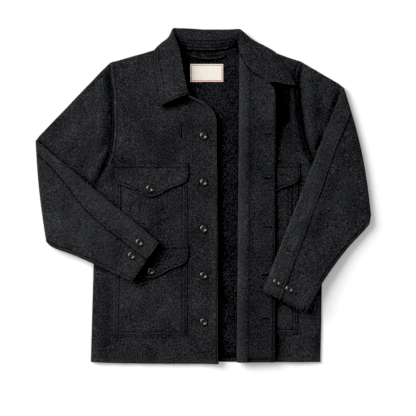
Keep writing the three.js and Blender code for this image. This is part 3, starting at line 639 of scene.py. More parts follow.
def front_under(x, y, hem, pit, shoulder, neck):
    """Back's height, plus the loft eased in from the side seam and the shoulder seam."""
    x, y = np.asarray(x, float), np.asarray(y, float)
    from_side = segment_distance(x, y, hem, pit)
    from_shoulder = segment_distance(x, y, shoulder, neck)
    eased = (1 - np.exp(-from_side / LOFT_EASE)) * (1 - np.exp(-from_shoulder / LOFT_EASE))
    loft = BODY_LOFT + folds(FRONT_FOLDS, x, y) + unrest(x, y)
    return LAYER + back_under(x, y) + loft * eased


def armhole_dip(off, y, pit, shoulder, deep, wide):
    """How far a front sinks towards its armhole, between the pit and the shoulder."""
    return deep * bell(off, wide) * between(y, pit[1] + DIP_CLEAR, shoulder[1], DIP_EASE)


def right_under(x, y):
    lift = PLACKET_LIFT * np.exp(-np.maximum(placket(y) - x, 0) / PLACKET_REACH)
    dip = armhole_dip(x - right_side(y), y, RIGHT_PIT, RIGHT_SHOULDER, **RIGHT_DIP)
    return front_under(x, y, RIGHT_HEM, RIGHT_PIT, RIGHT_SHOULDER, RIGHT_NECK) + lift - dip


def left_under(x, y):
    dip = armhole_dip(left_side(y) - x, y, LEFT_PIT, LEFT_SHOULDER, **LEFT_DIP)
    return front_under(x, y, LEFT_HEM, LEFT_PIT, LEFT_SHOULDER, LEFT_NECK) - dip


BUTTON_X, BUTTON_TOP_Y, BUTTON_PITCH = 1.0, 144.0, 112.6
button_ys = BUTTON_TOP_Y - BUTTON_PITCH * np.arange(5)
SMALL_FOLDS = table(
    FOLD_COLUMNS,
    (-62, 222, 15, 36, 13, -3), (-70, 60, 8, 60, 9, 0.7), (-150, -70, 15, 60, 16, 0.8),
    (-100, -90, 70, 60, 12, -0.7), (-150, -260, 40, 60, 16, 0.9), (-90, -300, 120, 50, 12, -0.7),
    (-60, -230, 95, 60, 10, 0.6), (-205, 150, 78, 60, 9, 1.2), (-190, 215, 95, 50, 8, -1.0),
    (-150, 270, 110, 60, 14, 1.2), (-110, 215, 60, 50, 12, -0.8), (-180, 100, 30, 45, 10, -0.9),
    (-245, -230, 92, 60, 9, 1.0), (-250, -360, 80, 40, 9, 0.8), (-150, -375, 5, 60, 9, 0.7),
    (-40, -380, 10, 60, 10, 0.6), (212, 195, 92, 60, 4.5, -2.2), (222, 205, 90, 55, 4, 1.4),
    (232, 170, 100, 45, 7, 1.2), (245, 100, 60, 40, 8, -1.0), (265, -340, 75, 50, 10, 0.9),
    (215, -370, 12, 50, 9, 0.7),
)


PUCKER = dict(out=16, long=13, wide=3.6, high=0.6)
PUCKER_TURNS = ((32, 78, 128, 171), (18, 62, 112, 158))


def pucker_rows():
    """Short creases that fan out from each front button, ridge and trough in turn."""
    for n, y in enumerate(button_ys):
        for k, turn in enumerate(PUCKER_TURNS[n % 2]):
            for way in (turn, turn + 180):
                out_x = BUTTON_X + PUCKER["out"] * np.cos(np.radians(way))
                out_y = y + PUCKER["out"] * np.sin(np.radians(way))
                high = PUCKER["high"] if k % 2 else -PUCKER["high"]
                yield out_x, out_y, turn, PUCKER["long"], PUCKER["wide"], high


BUTTON_FOLDS = table(FOLD_COLUMNS, *pucker_rows())


def puckers(x, y):
    return folds(SMALL_FOLDS, x, y) + folds(BUTTON_FOLDS, x, y)


# %% [markdown]
# ## The back
# One panel, cut flat. Its inside shows between the fronts, with the seam at the neck. Shares of the
# width and of the height are the two parameters of the grid.


# %% Back
NECK_TUCK, TUCK_INSET, TUCK_EASE = 6.0, 8, 16


def back_middle(part, share):
    """Point at a share of the height between the hem and the top edge, and a part of the width."""
    x = mix(RIGHT_SHOULDER[0], LEFT_SHOULDER[0], part)
    tuck = NECK_TUCK * between(x, RIGHT_NECK[0] + TUCK_INSET, LEFT_NECK[0] - TUCK_INSET, TUCK_EASE)
    y = mix(HEM_Y, back_top(x) + tuck, share)
    x = mix(right_side(y), left_side(y), part)
    return np.stack([x, y, back_under(x, y) + CLOTH / 2], -1)


u, v = grid(shares(110, 550), denser(shares(84, 760), 760, [10]))
# The back's upper face, its inside, takes the darker copy of the wool as painted shade
panel(
    "back_panel", "back", back_middle(u, v), rests_on=["ground"], finishes=(shaded_wool, wool), inside=1,
    seams=[("v0", 11, 0, 1), ("v1", 9, 0.35, 0.66)], laps=[("v0", 13, 0.5, 0, 1)],
)

# %% [markdown]
# ## The right front
# The front that lies closed. Its open edge lifts a little off the back and casts the dark line down
# the middle of the photograph. The armhole's seam allowance makes a doubled band along that edge.


# %% Right front
CURL = dict(high=8, start=0.983, long=0.017, dip=2, dip_at=0.975, dip_long=0.015)
CURL_PART, CURL_WIDE = 0.195, 0.105
EDGE_WAVE = dict(high=0.5, long=23, reach=15)
# RIM_LINE and UNDER_LEAF place painted shadows, and RIM_LIGHT a painted highlight on the curled rim
RIM_LINE = dict(inset=10, wide=3)
RIM_LIGHT = dict(amount=3, wide=6.5)
UNDER_LEAF = dict(a=(-92, 215), b=(-42, 232))
UNDER_LEAF_WIDE = 13
PLACKET_STITCHES = ((-29, -396), (-26, 214))


def curled(part):
    """1 where the top edge curls up, and 0 on both sides of that."""
    return bell(part - CURL_PART, CURL_WIDE, 4)


def right_front_middle(part, share):
    """Point on the right front: part from the open edge to the side, share from the hem to the top."""
    top = through(RIGHT_FRONT_TOP, "part", "y")(part)
    bottom = HEM_Y - RIGHT_HEM_DIP * (1 - part**4)
    y = mix(bottom, top, share)
    x = mix(placket(y), right_side(y), part)
    curl = CURL["high"] * smooth((share - CURL["start"]) / CURL["long"])
    curl = (curl - CURL["dip"] * bell(share - CURL["dip_at"], CURL["dip_long"])) * curled(part)
    middle = np.stack([x, y, right_under(x, y) + puckers(x, y) + curl + CLOTH / 2], -1)
    near_edge = np.exp(-side_distance(middle, "u0") / EDGE_WAVE["reach"])
    middle[..., 0] += EDGE_WAVE["high"] * np.sin(middle[..., 1] / EDGE_WAVE["long"]) * near_edge
    return middle


def right_front_worn(middle, part):
    """Painted shadow under the curled rim and under the collar's leaf, and a painted highlight on the rim.
    """
    from_top = side_distance(middle, "v1")
    rim = bell(from_top - RIM_LINE["inset"], RIM_LINE["wide"])
    rim = rim - RIM_LIGHT["amount"] * bell(from_top, RIM_LIGHT["wide"], 4)
    leaf = segment_distance(middle[..., 0], middle[..., 1], **UNDER_LEAF)
    return curled(part) * rim + bell(leaf, UNDER_LEAF_WIDE, 4)


parts = denser(np.unique(np.r_[shares(84, 250), np.linspace(0.1, 0.34, 20)]), 250, [5, 9])
rows = denser(np.unique(np.r_[shares(118, 640), np.linspace(0.95, 0.998, 22)]), 640, [10], ends=[0])
u, v = grid(parts, rows)
middle = right_front_middle(u, v)
panel(
    "front_right_panel", "front_right", middle, rests_on=["back_panel"], out=-1,
    worn=right_front_worn(middle, u), flat=[PLACKET_STITCHES],
    seams=[("v0", 10, 0, 1, 0.35), ("u0", 5, 0, 1), ("u1", 9, 0.56, 1)],
    laps=[("u1", 12, 0.6, 0.56, 1), ("v0", 12, 0.6, 0, 1)],
)


def right_top(x, y):
    return right_under(x, y) + puckers(x, y) + CLOTH


# %% [markdown]
# ## The left front
# This front lies on the back from the side seam to the fold line, turns over there in a half round,
# and comes back on top with its inside up. The three stretches are three blocks of one grid. The facing
# is a strip on the folded part, and it carries the five buttonholes.

# %% Left front tables
FOLD_LINE = table("y x", (-404, 81), (368, 88))
FOLD_RADIUS = 6.6
FREE_EDGE = table("y x", (-404, 174.5), (245, 175.5))
FOLDED_TOP = table(
    "part y", (0, 330), (0.15, 303), (0.5, 282), (0.78, 270), (0.92, 262), (1, 242)
)
FOLDED_HEIGHT = table(
    "part rise top_rise",
    (0, 0, 0), (0.12, -0.6, -0.2), (0.4, -4.4, -2.2), (0.75, -6, -1.5), (1, -5.4, 1.5),
)
FOLDED_LIFT = table("y share", (60, 0), (230, 1))
FOLDED_WAVES = table(
    FOLD_COLUMNS,
    (118, -330, 80, 90, 9, 0.9), (124, -120, 95, 120, 10, -0.9), (112, 60, 92, 110, 8, 0.8),
    (132, 190, 100, 70, 10, -1.0), (150, 240, 30, 30, 10, 0.9), (150, -30, 20, 26, 8, 0.6),
    (150, -250, 160, 26, 8, 0.6), (140, 100, 15, 30, 8, -0.6),
)
WAVES_START = 0.15
FREE_LIFT = dict(y=205, long=62, high=10)
fold_line = through(FOLD_LINE, "y", "x")
free_edge = through(FREE_EDGE, "y", "x")
folded_top = through(FOLDED_TOP, "part", "y")
folded_rise = through(FOLDED_HEIGHT, "part", "rise")
folded_top_rise = through(FOLDED_HEIGHT, "part", "top_rise")
folded_lift = through(FOLDED_LIFT, "y", "share")


def roll_axis(y):
    return fold_line(y) + FOLD_RADIUS + CLOTH / 2


def roll_top(y):
    return left_under(roll_axis(y), y) + CLOTH / 2 + 2 * FOLD_RADIUS


def folded_middle(part, y):
    """The folded stretch: part 0 over the roll's axis, part 1 at the free edge."""
    rise = mix(folded_rise(part), folded_top_rise(part), folded_lift(y))
    x = mix(roll_axis(y), free_edge(y), part)
    waves = folds(FOLDED_WAVES, x, y) * smooth(part / WAVES_START)
    waves += FREE_LIFT["high"] * np.clip(part, 0, 1) ** 2 * bell(y - FREE_LIFT["y"], FREE_LIFT["long"])
    return np.stack([x, y, roll_top(y) + rise + waves], -1)


def left_top(x, y):
    return left_under(x, y) + puckers(x, y) + CLOTH


# %% Left front
COLLAR_TUCK, TUCK_END, TUCK_LONG = 5.0, 0.9, 0.1
NECK_Y = LEFT_NECK[1] - 3
PUCKER_START = 0.05
# RIDGE_LIGHT is a painted highlight on the fold's ridge, ARMHOLE_DARK painted shade beside the armhole,
# BEHIND_EDGE a painted shadow behind the free edge
RIDGE_LIGHT, RIDGE_WIDE = 1.2, 9
ARMHOLE_DARK = dict(inset=6, wide=10)
ARMHOLE_SPAN = (45, 280, 30, 60)
BEHIND_EDGE = dict(amount=1.3, x=196, wide=17)
BEHIND_EDGE_SPAN = (150, 268, 50, 8)


def left_front_middle(rows):
    """The three stretches, each on the same rows, and the number of grid lines in the first."""
    side_parts = 1 - denser(shares(56, 190)[:-4], 190, [9], ends=[0])
    u, v = grid(side_parts, rows)
    y = mix(HEM_Y, mix(NECK_Y, LEFT_SHOULDER[1], u), v)
    x = mix(roll_axis(y), left_side(y), u)
    z = left_under(x, y) + puckers(x, y) * smooth(u / PUCKER_START) + CLOTH / 2
    lying = np.stack([x, y, z], -1)
    turn, v = grid(np.linspace(0, 1, 20)[1:-1], rows)
    y = mix(HEM_Y, mix(NECK_Y, FOLDED_TOP["y"][0], smooth(turn)), v)
    x = roll_axis(y) - FOLD_RADIUS * np.sin(np.pi * turn)
    roll = np.stack([x, y, roll_top(y) - FOLD_RADIUS * (1 + np.cos(np.pi * turn))], -1)
    u, v = grid(shares(44, 85)[4:], rows)
    top = folded_top(u) + COLLAR_TUCK * smooth((TUCK_END - u) / TUCK_LONG)
    return np.concatenate([lying, roll, folded_middle(u, mix(HEM_Y, top, v))]), len(lying)


def left_front_worn(middle, lying):
    """Painted shade beside the armhole, a painted shadow behind the free edge, and a painted highlight on
    the fold's ridge.
    """
    x, y = middle[..., 0], middle[..., 1]
    painted_shadow = bell(left_side(y) - x - ARMHOLE_DARK["inset"], ARMHOLE_DARK["wide"]) * between(y, *ARMHOLE_SPAN)
    behind = bell(x - BEHIND_EDGE["x"], BEHIND_EDGE["wide"], 4) * between(y, *BEHIND_EDGE_SPAN)
    painted_shadow = painted_shadow + BEHIND_EDGE["amount"] * behind
    ridge = RIDGE_LIGHT * bell(x - roll_axis(y), RIDGE_WIDE)
    return np.where((np.arange(len(middle)) < lying)[:, None], painted_shadow, -ridge)


middle, lying = left_front_middle(denser(shares(118, 760), 760, [8]))
panel(
    "front_left_panel", "front_left", middle, held="folded", rests_on=["back_panel"], out=-1,
    worn=left_front_worn(middle, lying),
    seams=[("v0", 8, 0, 1, 0.4), ("u0", 9, 0.56, 1), ("u1", 4, 0, 1)],
    laps=[("v0", 12, 0.6, 0, 1)],
)

# %% Facing
FACING_WIDTH, FACING_INSET = 66.0, 0.6


def facing_middle(part, share):
    """The folded stretch's points, raised by a layer, from the inner seam to the free edge."""
    length = free_edge(0.0) - roll_axis(0.0)
    at = mix(1 - FACING_WIDTH / length, 1 - FACING_INSET / length, part)
    y = mix(HEM_Y + FACING_INSET, folded_top(at) - FACING_INSET, share)
    return folded_middle(at, y) + np.array([0, 0, LAYER])


HOLE_LONG, HOLE_WIDE, HOLE_DEEP = 19.0, 1.7, 1.2
HOLE_LIP = dict(high=1.2, off=4, wide=2.2)
HOLE_XS = np.array([157.0, 156, 156, 150, 150])
HOLE_YS = np.array([147.0, 40, -77, -193, -298])
HOLE_ROWS, HOLE_PART = np.linspace(-8, 8, 17), 0.8
FACING_PAINTED_SHADE = 0.2
near_holes = ((HOLE_YS[:, None] + HOLE_ROWS) - HEM_Y) / (folded_top(HOLE_PART) - HEM_Y)
u, v = grid(shares(50, 66), np.unique(np.r_[shares(110, 690), near_holes.ravel()]))
middle = facing_middle(u, v)
slit = np.zeros(middle.shape[:2])
for hole_x, hole_y in zip(HOLE_XS, HOLE_YS):
    along = bell(np.abs(middle[..., 0] - hole_x), HOLE_LONG / 2, 8)
    across = middle[..., 1] - hole_y
    slit = np.maximum(slit, along * bell(across, HOLE_WIDE))
    middle[..., 2] += HOLE_LIP["high"] * along * bell(np.abs(across) - HOLE_LIP["off"], HOLE_LIP["wide"])
middle[..., 2] -= HOLE_DEEP * slit
# Painted shade over the whole facing, deeper in each buttonhole's slit
panel(
    "facing_left_panel", "facing_left", middle, rests_on=["front_left_panel"],
    worn=np.maximum(slit, FACING_PAINTED_SHADE),
    seams=[("v0", 8, 0, 1), ("u1", 6, 0, 1), ("u0", 3, 0, 1)], laps=[("u0", 7, 0.7, 0, 1)],
)

# %% [markdown]
# ## Sleeves
# A sleeve is a flattened tube. One parameter runs along the arm: 0 to 1 up to the elbow, 1 to 2 round
# the fold there, and 2 to 3 down to the cuff. The other runs round the tube. Two seams part it into a
# top sleeve and an under sleeve, and the soft rolls of the cloth come from a table for the upper arm and
# one for the forearm.

# %% Sleeve tables
ELBOW_RADIUS = 9.6
# trough_dark is painted shade in the armhole's trough, and fore_light painted light on the forearm's under
# and top panels
RIGHT_SLEEVE = dict(
    outward=-1, shoulder_y=321, pit_y=18, bow=4, side=right_side, lap=1.5, trough_dark=0.9,
    fore_light=(0.6, 0.8),
    rest_line=((-400, 134), (-222, -16)), rest_deep=4.0,
    under_lines=[((-187, -123), (-215, -184)), ((-196, -120), (-221, -180))],
    fold=((-406.5, 135), (-380, -115)),
    forearm=table(
        "part ax ay bx by top deep",
        (0, -406.5, 135, -380, -115, 19.2, 8.2), (0.1, -376, 110, -361, -127, 19.6, 8.4),
        (0.3, -316, 60, -317, -143, 20.5, 9), (0.62, -219, -20, -250, -172, 25, 11.5),
        (1, -105, -113, -171, -208, 36.5, 20),
    ),
    back_seam=table("station share", (0, 0.34), (1, 0.13), (2, 0.13), (2.5, 0.385), (3, 0.45)),
    upper_folds=table(
        FOLD_COLUMNS,
        (-262, 200, 118, 80, 15, 2.4), (-300, 90, 52, 70, 18, 1.8), (-250, 105, 62, 60, 9, -2.6),
        (-330, 160, 42, 60, 16, -1.6), (-285, 260, 50, 50, 11, 1.2), (-350, 60, 70, 60, 16, 1.5),
        (-300, 20, 45, 40, 10, -1.8),
    ),
    fore_folds=table(
        FOLD_COLUMNS,
        (-330, 40, 128, 60, 14, 1.4), (-345, -60, 95, 70, 18, 1.3), (-290, -70, 145, 80, 16, -1.3),
        (-250, -110, 152, 60, 14, 1.3), (-225, -60, 140, 70, 13, 1.2), (-190, -110, 60, 30, 12, -1.0),
        (-370, 60, 85, 50, 12, -1.2), (-180, -170, 150, 40, 9, 1.2),
    ),
)
LEFT_SLEEVE = dict(
    outward=1, shoulder_y=323, pit_y=47, bow=10, side=left_side, lap=2.2, under_lines=[], trough_dark=0.3,
    fore_light=(0.0, 0.5),
    rest_line=((338, 262), (262, 70)), rest_deep=1.5,
    fold=((340, 264), (407, -50)),
    forearm=table(
        "part ax ay bx by top deep",
        (0, 340, 264, 407, -50, 19.2, 8.2), (0.06, 327, 232, 402, -68, 19.5, 8.3),
        (0.14, 312, 195, 393, -80, 20, 8.6), (0.36, 269, 86, 346, -131, 23, 10),
        (0.68, 206, -71, 289, -209, 30.5, 13), (1, 143, -229.5, 247, -283, 38, 18),
    ),
    back_seam=table("station share", (0, 0.36), (1, 0.25), (2, 0.2), (2.4, 0.3), (3, 0.43)),
    upper_folds=table(
        FOLD_COLUMNS,
        (262, 190, 84, 90, 13, 2.2), (285, 230, 118, 60, 12, -1.6), (300, 260, 150, 40, 10, 1.6),
        (272, 105, 70, 40, 9, -2.2), (300, 150, 80, 70, 12, 1.4), (318, 215, 75, 50, 9, -1.8),
    ),
    fore_folds=table(
        FOLD_COLUMNS,
        (330, 130, 74, 80, 18, 1.2), (360, 20, 70, 90, 20, 1.0), (300, 20, 66, 90, 14, 1.2),
        (290, -90, 62, 70, 16, -1.0), (320, -110, 45, 70, 12, 1.0), (235, -150, 60, 60, 12, 0.9),
        (378, -30, 80, 50, 10, -0.8),
    ),
)
UPPER_DEPTH = table("part deep", (0, 9), (0.5, 9.4), (1, 8.2))
INNER_SEAM_INSET = 9.0


# %% Sleeve form
class Sleeve:
    """The plan, the depth and the height of one sleeve at any station and share."""

    def __init__(self, rows):
        self.rows = rows
        forearm = rows["forearm"]
        self.curve = {key: through(forearm, "part", key) for key in "ax ay bx by top deep".split()}
        self.upper_deep = through(UPPER_DEPTH, "part", "deep")
        self.back_seam = through(rows["back_seam"], "station", "share")
        self.corners = np.array(rows["fold"], float)
        (ax, ay), (bx, by) = self.corners
        out = np.array([by - ay, ax - bx]) / np.hypot(by - ay, ax - bx)
        self.out = out if out[0] * rows["outward"] > 0 else -out
        self.start = [self.start_part(n) for n in (0, 1)]
        self.upper_lean = [self.lean(self.armhole(float(n)), n) for n in (0, 1)]
        self.fore_lean = [self.lean(self.fore_edge(n, self.start[n]), n) for n in (0, 1)]

    def armhole(self, share):
        y = mix(self.rows["shoulder_y"], self.rows["pit_y"], share)
        return np.stack([self.rows["side"](y) + self.rows["outward"] * BUTTING, y], -1)

    def fore_edge(self, n, part):
        x, y = (self.curve[("a" if n == 0 else "b") + axis](part) for axis in "xy")
        return np.stack([x, y], -1)

    def start_part(self, n):
        """The part where the forearm's edge has come in from the fold by the elbow's radius."""
        part = np.linspace(0, 0.5, 4001)
        inward = (self.corners[n] - self.fore_edge(n, part)) @ self.out
        return part[np.argmax(inward >= ELBOW_RADIUS)]

    def lean(self, point, n):
        """How an edge runs to its corner, for each millimetre that it goes outwards."""
        way = self.corners[n] - point
        return way / (way @ self.out)

    def at_elbow(self, station, share, inside):
        """The fold's bowed line, moved in along the two edges' own directions."""
        station, share, inside = (np.asarray(value, float)[..., None] for value in (station, share, inside))
        upper, fore = mix(*self.upper_lean, share), mix(*self.fore_lean, share)
        bow = self.rows["bow"] * np.sin(np.pi * np.clip(share, 0, 1)) * self.out
        return mix(*self.corners, share) + bow - mix(upper, fore, smooth(station - 1)) * inside

    def deep(self, station):
        return np.where(station <= 1, self.upper_deep(station), self.curve["deep"](station - 2))

    def edge(self, station, share):
        """Plan point: straight from the armhole to the fold, then from edge a to edge b."""
        station, share = np.broadcast_arrays(np.asarray(station, float), np.asarray(share, float))
        t = np.clip(station, 0, 1)[..., None]
        upper = mix(self.armhole(share), self.at_elbow(np.ones(share.shape), share, ELBOW_RADIUS), t)
        part = np.clip(station - 2, 0, 1)
        ends = [self.fore_edge(n, mix(self.start[n], 1, part)) for n in (0, 1)]
        bow = self.rows["bow"] * np.sin(np.pi * np.clip(share, 0, 1)) * (1 - smooth(part / 0.2))
        fore = mix(*ends, share[..., None]) + bow[..., None] * self.out
        return np.where(station[..., None] <= 1, upper, fore)

    def width(self, station):
        return np.linalg.norm(self.edge(station, 1.0) - self.edge(station, 0.0), axis=-1)

    def point(self, station, share, depth):
        """Depth is counted from the floor below the upper arm and from the top of the forearm."""
        station, share, depth = np.broadcast_arrays(*(np.asarray(v, float) for v in (station, share, depth)))
        turn = np.pi * np.clip(station - 1, 0, 1)
        radius = ELBOW_RADIUS - depth
        elbow = self.at_elbow(station, share, ELBOW_RADIUS - radius * np.sin(turn))
        at_elbow = (station > 1) & (station < 2)
        plan = np.where(at_elbow[..., None], elbow, self.edge(station, share))
        fore = self.curve["top"](station - 2) - depth
        z = np.where(station <= 1, depth, np.where(at_elbow, ELBOW_RADIUS - radius * np.cos(turn), fore))
        return np.concatenate([plan, z[..., None]], -1)

    def ring(self, station, place, inset):
        """A point round the tube: low flat, half round over edge b, high flat, half round over a.

        Place runs 0 to 1 along the low flat from edge a to edge b, 1 to 2 over b, 2 to 3 along the
        high flat, and 3 to 4 over a.
        """
        deep = self.deep(station)
        width = self.width(station)
        round_share = deep / 2 / width
        turn = np.pi * np.clip(np.where(place < 2, place - 1, place - 3), 0, 1)
        radius = deep / 2 - inset
        sideways = radius * np.sin(turn) / width
        high_share = mix(1 - round_share, round_share, place - 2)
        round_depth = deep / 2 - radius * np.cos(turn)
        until = [place <= 1, place <= 2, place <= 3]
        share = np.select(until, [place, 1 - round_share + sideways, high_share], round_share - sideways)
        low_depth = np.full_like(deep, inset)
        depth = np.select(until, [low_depth, round_depth, deep - inset], deep - round_depth)
        return self.point(station, share, depth)


def sleeve_stations():
    """Even stations, with more of them over the seam lines that cross the forearm near the cuff."""
    upper = np.linspace(0, 1, 56)
    elbow = np.linspace(1, 2, 14)[1:-1]
    cuff = np.unique(np.r_[shares(76, 330)[4:], np.linspace(0.75, 0.9, 46)])
    forearm = 2 + denser(cuff, 330, [4], ends=[1])
    return np.concatenate([upper[:1], upper[:1] + 0.001, upper[1:], elbow, forearm])


# %% [markdown]
# A sleeve sinks into a trough at the armhole's seam and rises to a ridge just beyond it. Where an upper
# arm rests against its own forearm it is pressed down. Both seams sink, with painted shade on them and in
# the trough, and the forearms take painted light.

# %% Sleeve relief
UPPER_RELIEF, FORE_RELIEF = 1.35, 1.4
UPPER_START, UPPER_END = 0.1, 0.15
FORE_START, FORE_EASE = 2.02, 0.15
# SEAM_DARK and TROUGH_DARK set painted shade along the seams and in the armhole's trough
SEAM_DARK, SEAM_DARK_WIDE, INNER_DARK_WIDE = 1.5, 6, 3
SEAM_SINK, SEAM_SINK_WIDE, SEAM_SINK_START = 1.5, 5, 0.1
TROUGH = dict(deep=5.0, off=4.5, wide=8)
TROUGH_DARK = dict(off=5, wide=7, ease=50)
TROUGH_START, TROUGH_END = 3, 0.06
RIDGE = dict(high=3.8, off=27, wide=13)
PIT_EASE = 40
REST_CLEAR, REST_WIDE = 12, 6
LOWEST_SUNK = 1.5 * CLOTH + SEAM


def sleeve_relief(sleeve, points, station, faces_up):
    """Rolls of the upper arm's top, dipping to the armhole, and of the forearm's top."""
    rows = sleeve.rows
    x, y = points[..., 0], points[..., 1]
    upper = UPPER_RELIEF * folds(rows["upper_folds"], x, y) + unrest(x, y)
    upper = upper * between(station, 0, 1, UPPER_START, UPPER_END)
    from_seam = np.abs(x - rows["side"](y))
    dip = TROUGH["deep"] * bell(from_seam - TROUGH["off"], TROUGH["wide"]) * smooth(from_seam / TROUGH_START)
    dip = dip - RIDGE["high"] * bell(from_seam - RIDGE["off"], RIDGE["wide"])
    dip = dip * between(y, rows["pit_y"] - PIT_EASE, rows["shoulder_y"], PIT_EASE)
    beside = segment_distance(x, y, *rows["rest_line"])
    dip = dip * smooth(beside / REST_CLEAR) + rows["rest_deep"] * bell(beside, REST_WIDE)
    upper = upper - dip * smooth((1 - station) / TROUGH_END)
    fore = FORE_RELIEF * folds(rows["fore_folds"], x, y) + unrest(x, y)
    fore = fore * smooth((station - FORE_START) / FORE_EASE)
    return np.where(station <= 1, upper, fore) * faces_up


def sleeve_panel(side, which, middle, worn, **make):
    panel(
        f"sleeve_{side}_{which}_panel", f"sleeve_{side}_{which}", middle, held="folded",
        rests_on=["ground", f"front_{side}_panel"], out=-1, worn=worn, **make,
    )


def under_sleeve(side, sleeve, stations, width, back_seam, inner_seam):
    """The strip of the low flat between the two seams."""
    station, part = grid(stations, shares(60, 110))
    middle = sleeve.ring(station, mix(back_seam, inner_seam, part), CLOTH / 2)
    middle[..., 2] += sleeve_relief(sleeve, middle, station, (station >= 2).astype(float))
    beside = part * width
    middle[..., 2] -= SEAM_SINK * bell(beside, SEAM_SINK_WIDE) * smooth((station - 2) / SEAM_SINK_START)
    # Painted shade along both seams, and painted light on the forearm
    dark = SEAM_DARK * (bell(beside, SEAM_DARK_WIDE) + bell(width - beside, INNER_DARK_WIDE))
    dark = dark - sleeve.rows["fore_light"][0] * (station > 2)
    sleeve_panel(side, "under", middle, dark, seams=[("u1", 4, 0, 1)], lines=sleeve.rows["under_lines"])


def top_places(inner_seam, round_share, back_seam):
    """Round the tube from the inner seam: over edge b, across, over edge a and on to the back seam."""
    over = np.linspace(0, 1, 12)[1:]
    across = np.linspace(0, 1, 52)[1:]
    fixed = np.concatenate([1 + over, 2 + across, 3 + over])
    start = mix(inner_seam, 1 - round_share, shares(6, 12)[:-4])
    end = mix(round_share, back_seam, denser(shares(20, 60)[5:], 60, [3, 9], ends=[1]))
    return np.concatenate([start, np.broadcast_to(fixed, (len(start), len(fixed))), end], axis=1)


def top_sleeve(side, sleeve, stations, place):
    """The rest of the tube. It sinks nowhere below the cloth of the under sleeve."""
    rows = sleeve.rows
    station = np.broadcast_to(stations[:, None], place.shape)
    middle = sleeve.ring(station, place, CLOTH / 2)
    high = (place > 1.5) & (place < 3.5)
    up = np.where(station < 1.5, high, ~high).astype(float)
    sunk = middle[..., 2] + sleeve_relief(sleeve, middle, station, up)
    middle[..., 2] = np.maximum(sunk, np.minimum(middle[..., 2], LOWEST_SUNK))
    x, y = middle[..., 0], middle[..., 1]
    from_seam = np.abs(x - rows["side"](y))
    # Painted shade in the armhole's trough, then painted light on the forearm
    dark = rows["trough_dark"] * bell(from_seam - TROUGH_DARK["off"], TROUGH_DARK["wide"])
    dark = dark * between(y, rows["pit_y"], rows["shoulder_y"], TROUGH_DARK["ease"]) * (station <= 1) * up
    sleeve_panel(
        side, "top", middle, dark - rows["fore_light"][1] * (station > 2),
        seams=[("v1", 3, 0.5, 1), ("v1", 9, 0.5, 1), ("u1", 4, 0, 1)],
        laps=[("v1", 11, rows["lap"], 0.5, 1)],
    )


def make_sleeve(side, rows):
    """Both panels of one sleeve. Each value at the stations is a column, to go with a grid."""
    sleeve = Sleeve(rows)
    stations = sleeve_stations()
    width = sleeve.width(stations)[:, None]
    gap = BUTTING / 2 / width
    back_seam = sleeve.back_seam(stations)[:, None]
    inner_seam = 1 - INNER_SEAM_INSET / width
    round_share = sleeve.deep(stations)[:, None] / 2 / width
    under_sleeve(side, sleeve, stations, width, back_seam + gap, inner_seam - gap)
    top_sleeve(side, sleeve, stations, top_places(inner_seam + gap, round_share, back_seam - gap))
    return sleeve


sleeves = {"right": make_sleeve("right", RIGHT_SLEEVE), "left": make_sleeve("left", LEFT_SLEEVE)}

# %% [markdown]
# ## The collar
# One piece round the neck. Its two parameters run along the neck and across from the neck seam, up the
# stand, over the roll and down the fall. Four tables give the middle of the cloth on four lines, and a
# smooth curve joins them at every station.

# %% Collar tables
COLLAR_NECK = table(
    "along x y z",
    (0, -32, 246, 10.5), (0.1, -51, 289, 9.5), (0.2, -62, 345, 8.5), (0.27, -62, 371, 7),
    (0.38, -34, 354, 6.6), (0.5, 9, 351, 6.6), (0.62, 54, 354, 6.6), (0.69, 84, 372, 8),
    (0.735, 86, 356, 15), (0.78, 91.5, 338, 23.4), (0.86, 109.5, 307.5, 22.8),
    (0.93, 138, 286.5, 20.8), (1, 159, 274, 20.4),
)
COLLAR_ROLL = table(
    "along x y z",
    (0, -36, 244, 17), (0.1, -46, 291, 24), (0.2, -57, 352, 26), (0.27, -72, 390, 22),
    (0.3, -74, 400, 17), (0.33, -71, 404.5, 14), (0.38, -50, 404.5, 11), (0.5, 9, 401.5, 9.5),
    (0.62, 62, 401.5, 11), (0.67, 86, 402, 15), (0.7, 100, 389, 19), (0.735, 108, 368, 21),
    (0.78, 119, 338, 21.5), (0.86, 139, 308, 20), (0.93, 163, 286, 19), (1, 183, 270.5, 20),
)
COLLAR_FALL = table(
    "along x y z",
    (0, -68, 232, 23), (0.1, -79, 287, 20), (0.2, -93, 347, 17), (0.235, -98, 369, 11),
    (0.28, -88, 379, 2), (0.33, -69, 391, 1.5), (0.38, -46, 382, 1), (0.5, 9, 378, 1),
    (0.62, 64, 382, 1), (0.665, 92, 391, 1.6), (0.7, 123, 375, 3), (0.735, 146, 361, 10),
    (0.78, 150, 337, 15), (0.86, 174, 307, 15), (1, 205, 267, 20),
)
COLLAR_EDGE = table(
    "along x y z",
    (0, -102, 218, 17), (0.1, -110, 281, 12.6), (0.19, -119, 336, 12.4), (0.22, -119, 350, 11),
    (0.245, -114, 355.5, 6), (0.265, -106, 358, 1), (0.3, -90, 353, 1), (0.36, -58, 356, 1),
    (0.5, 9, 345, 1), (0.64, 82, 366, 1), (0.68, 122, 357, 1), (0.71, 150, 357.5, 1),
    (0.735, 169, 350.5, 5), (0.76, 179, 342, 11), (0.79, 184, 331, 12.5), (0.86, 204, 306, 12),
    (1, 225, 264, 18),
)
STAND_BULGE = 2.5
COLLAR_LOW = 1.8


# %% Collar
def collar_line(rows, along):
    return np.stack([through(rows, "along", key)(along) for key in "xyz"], -1)


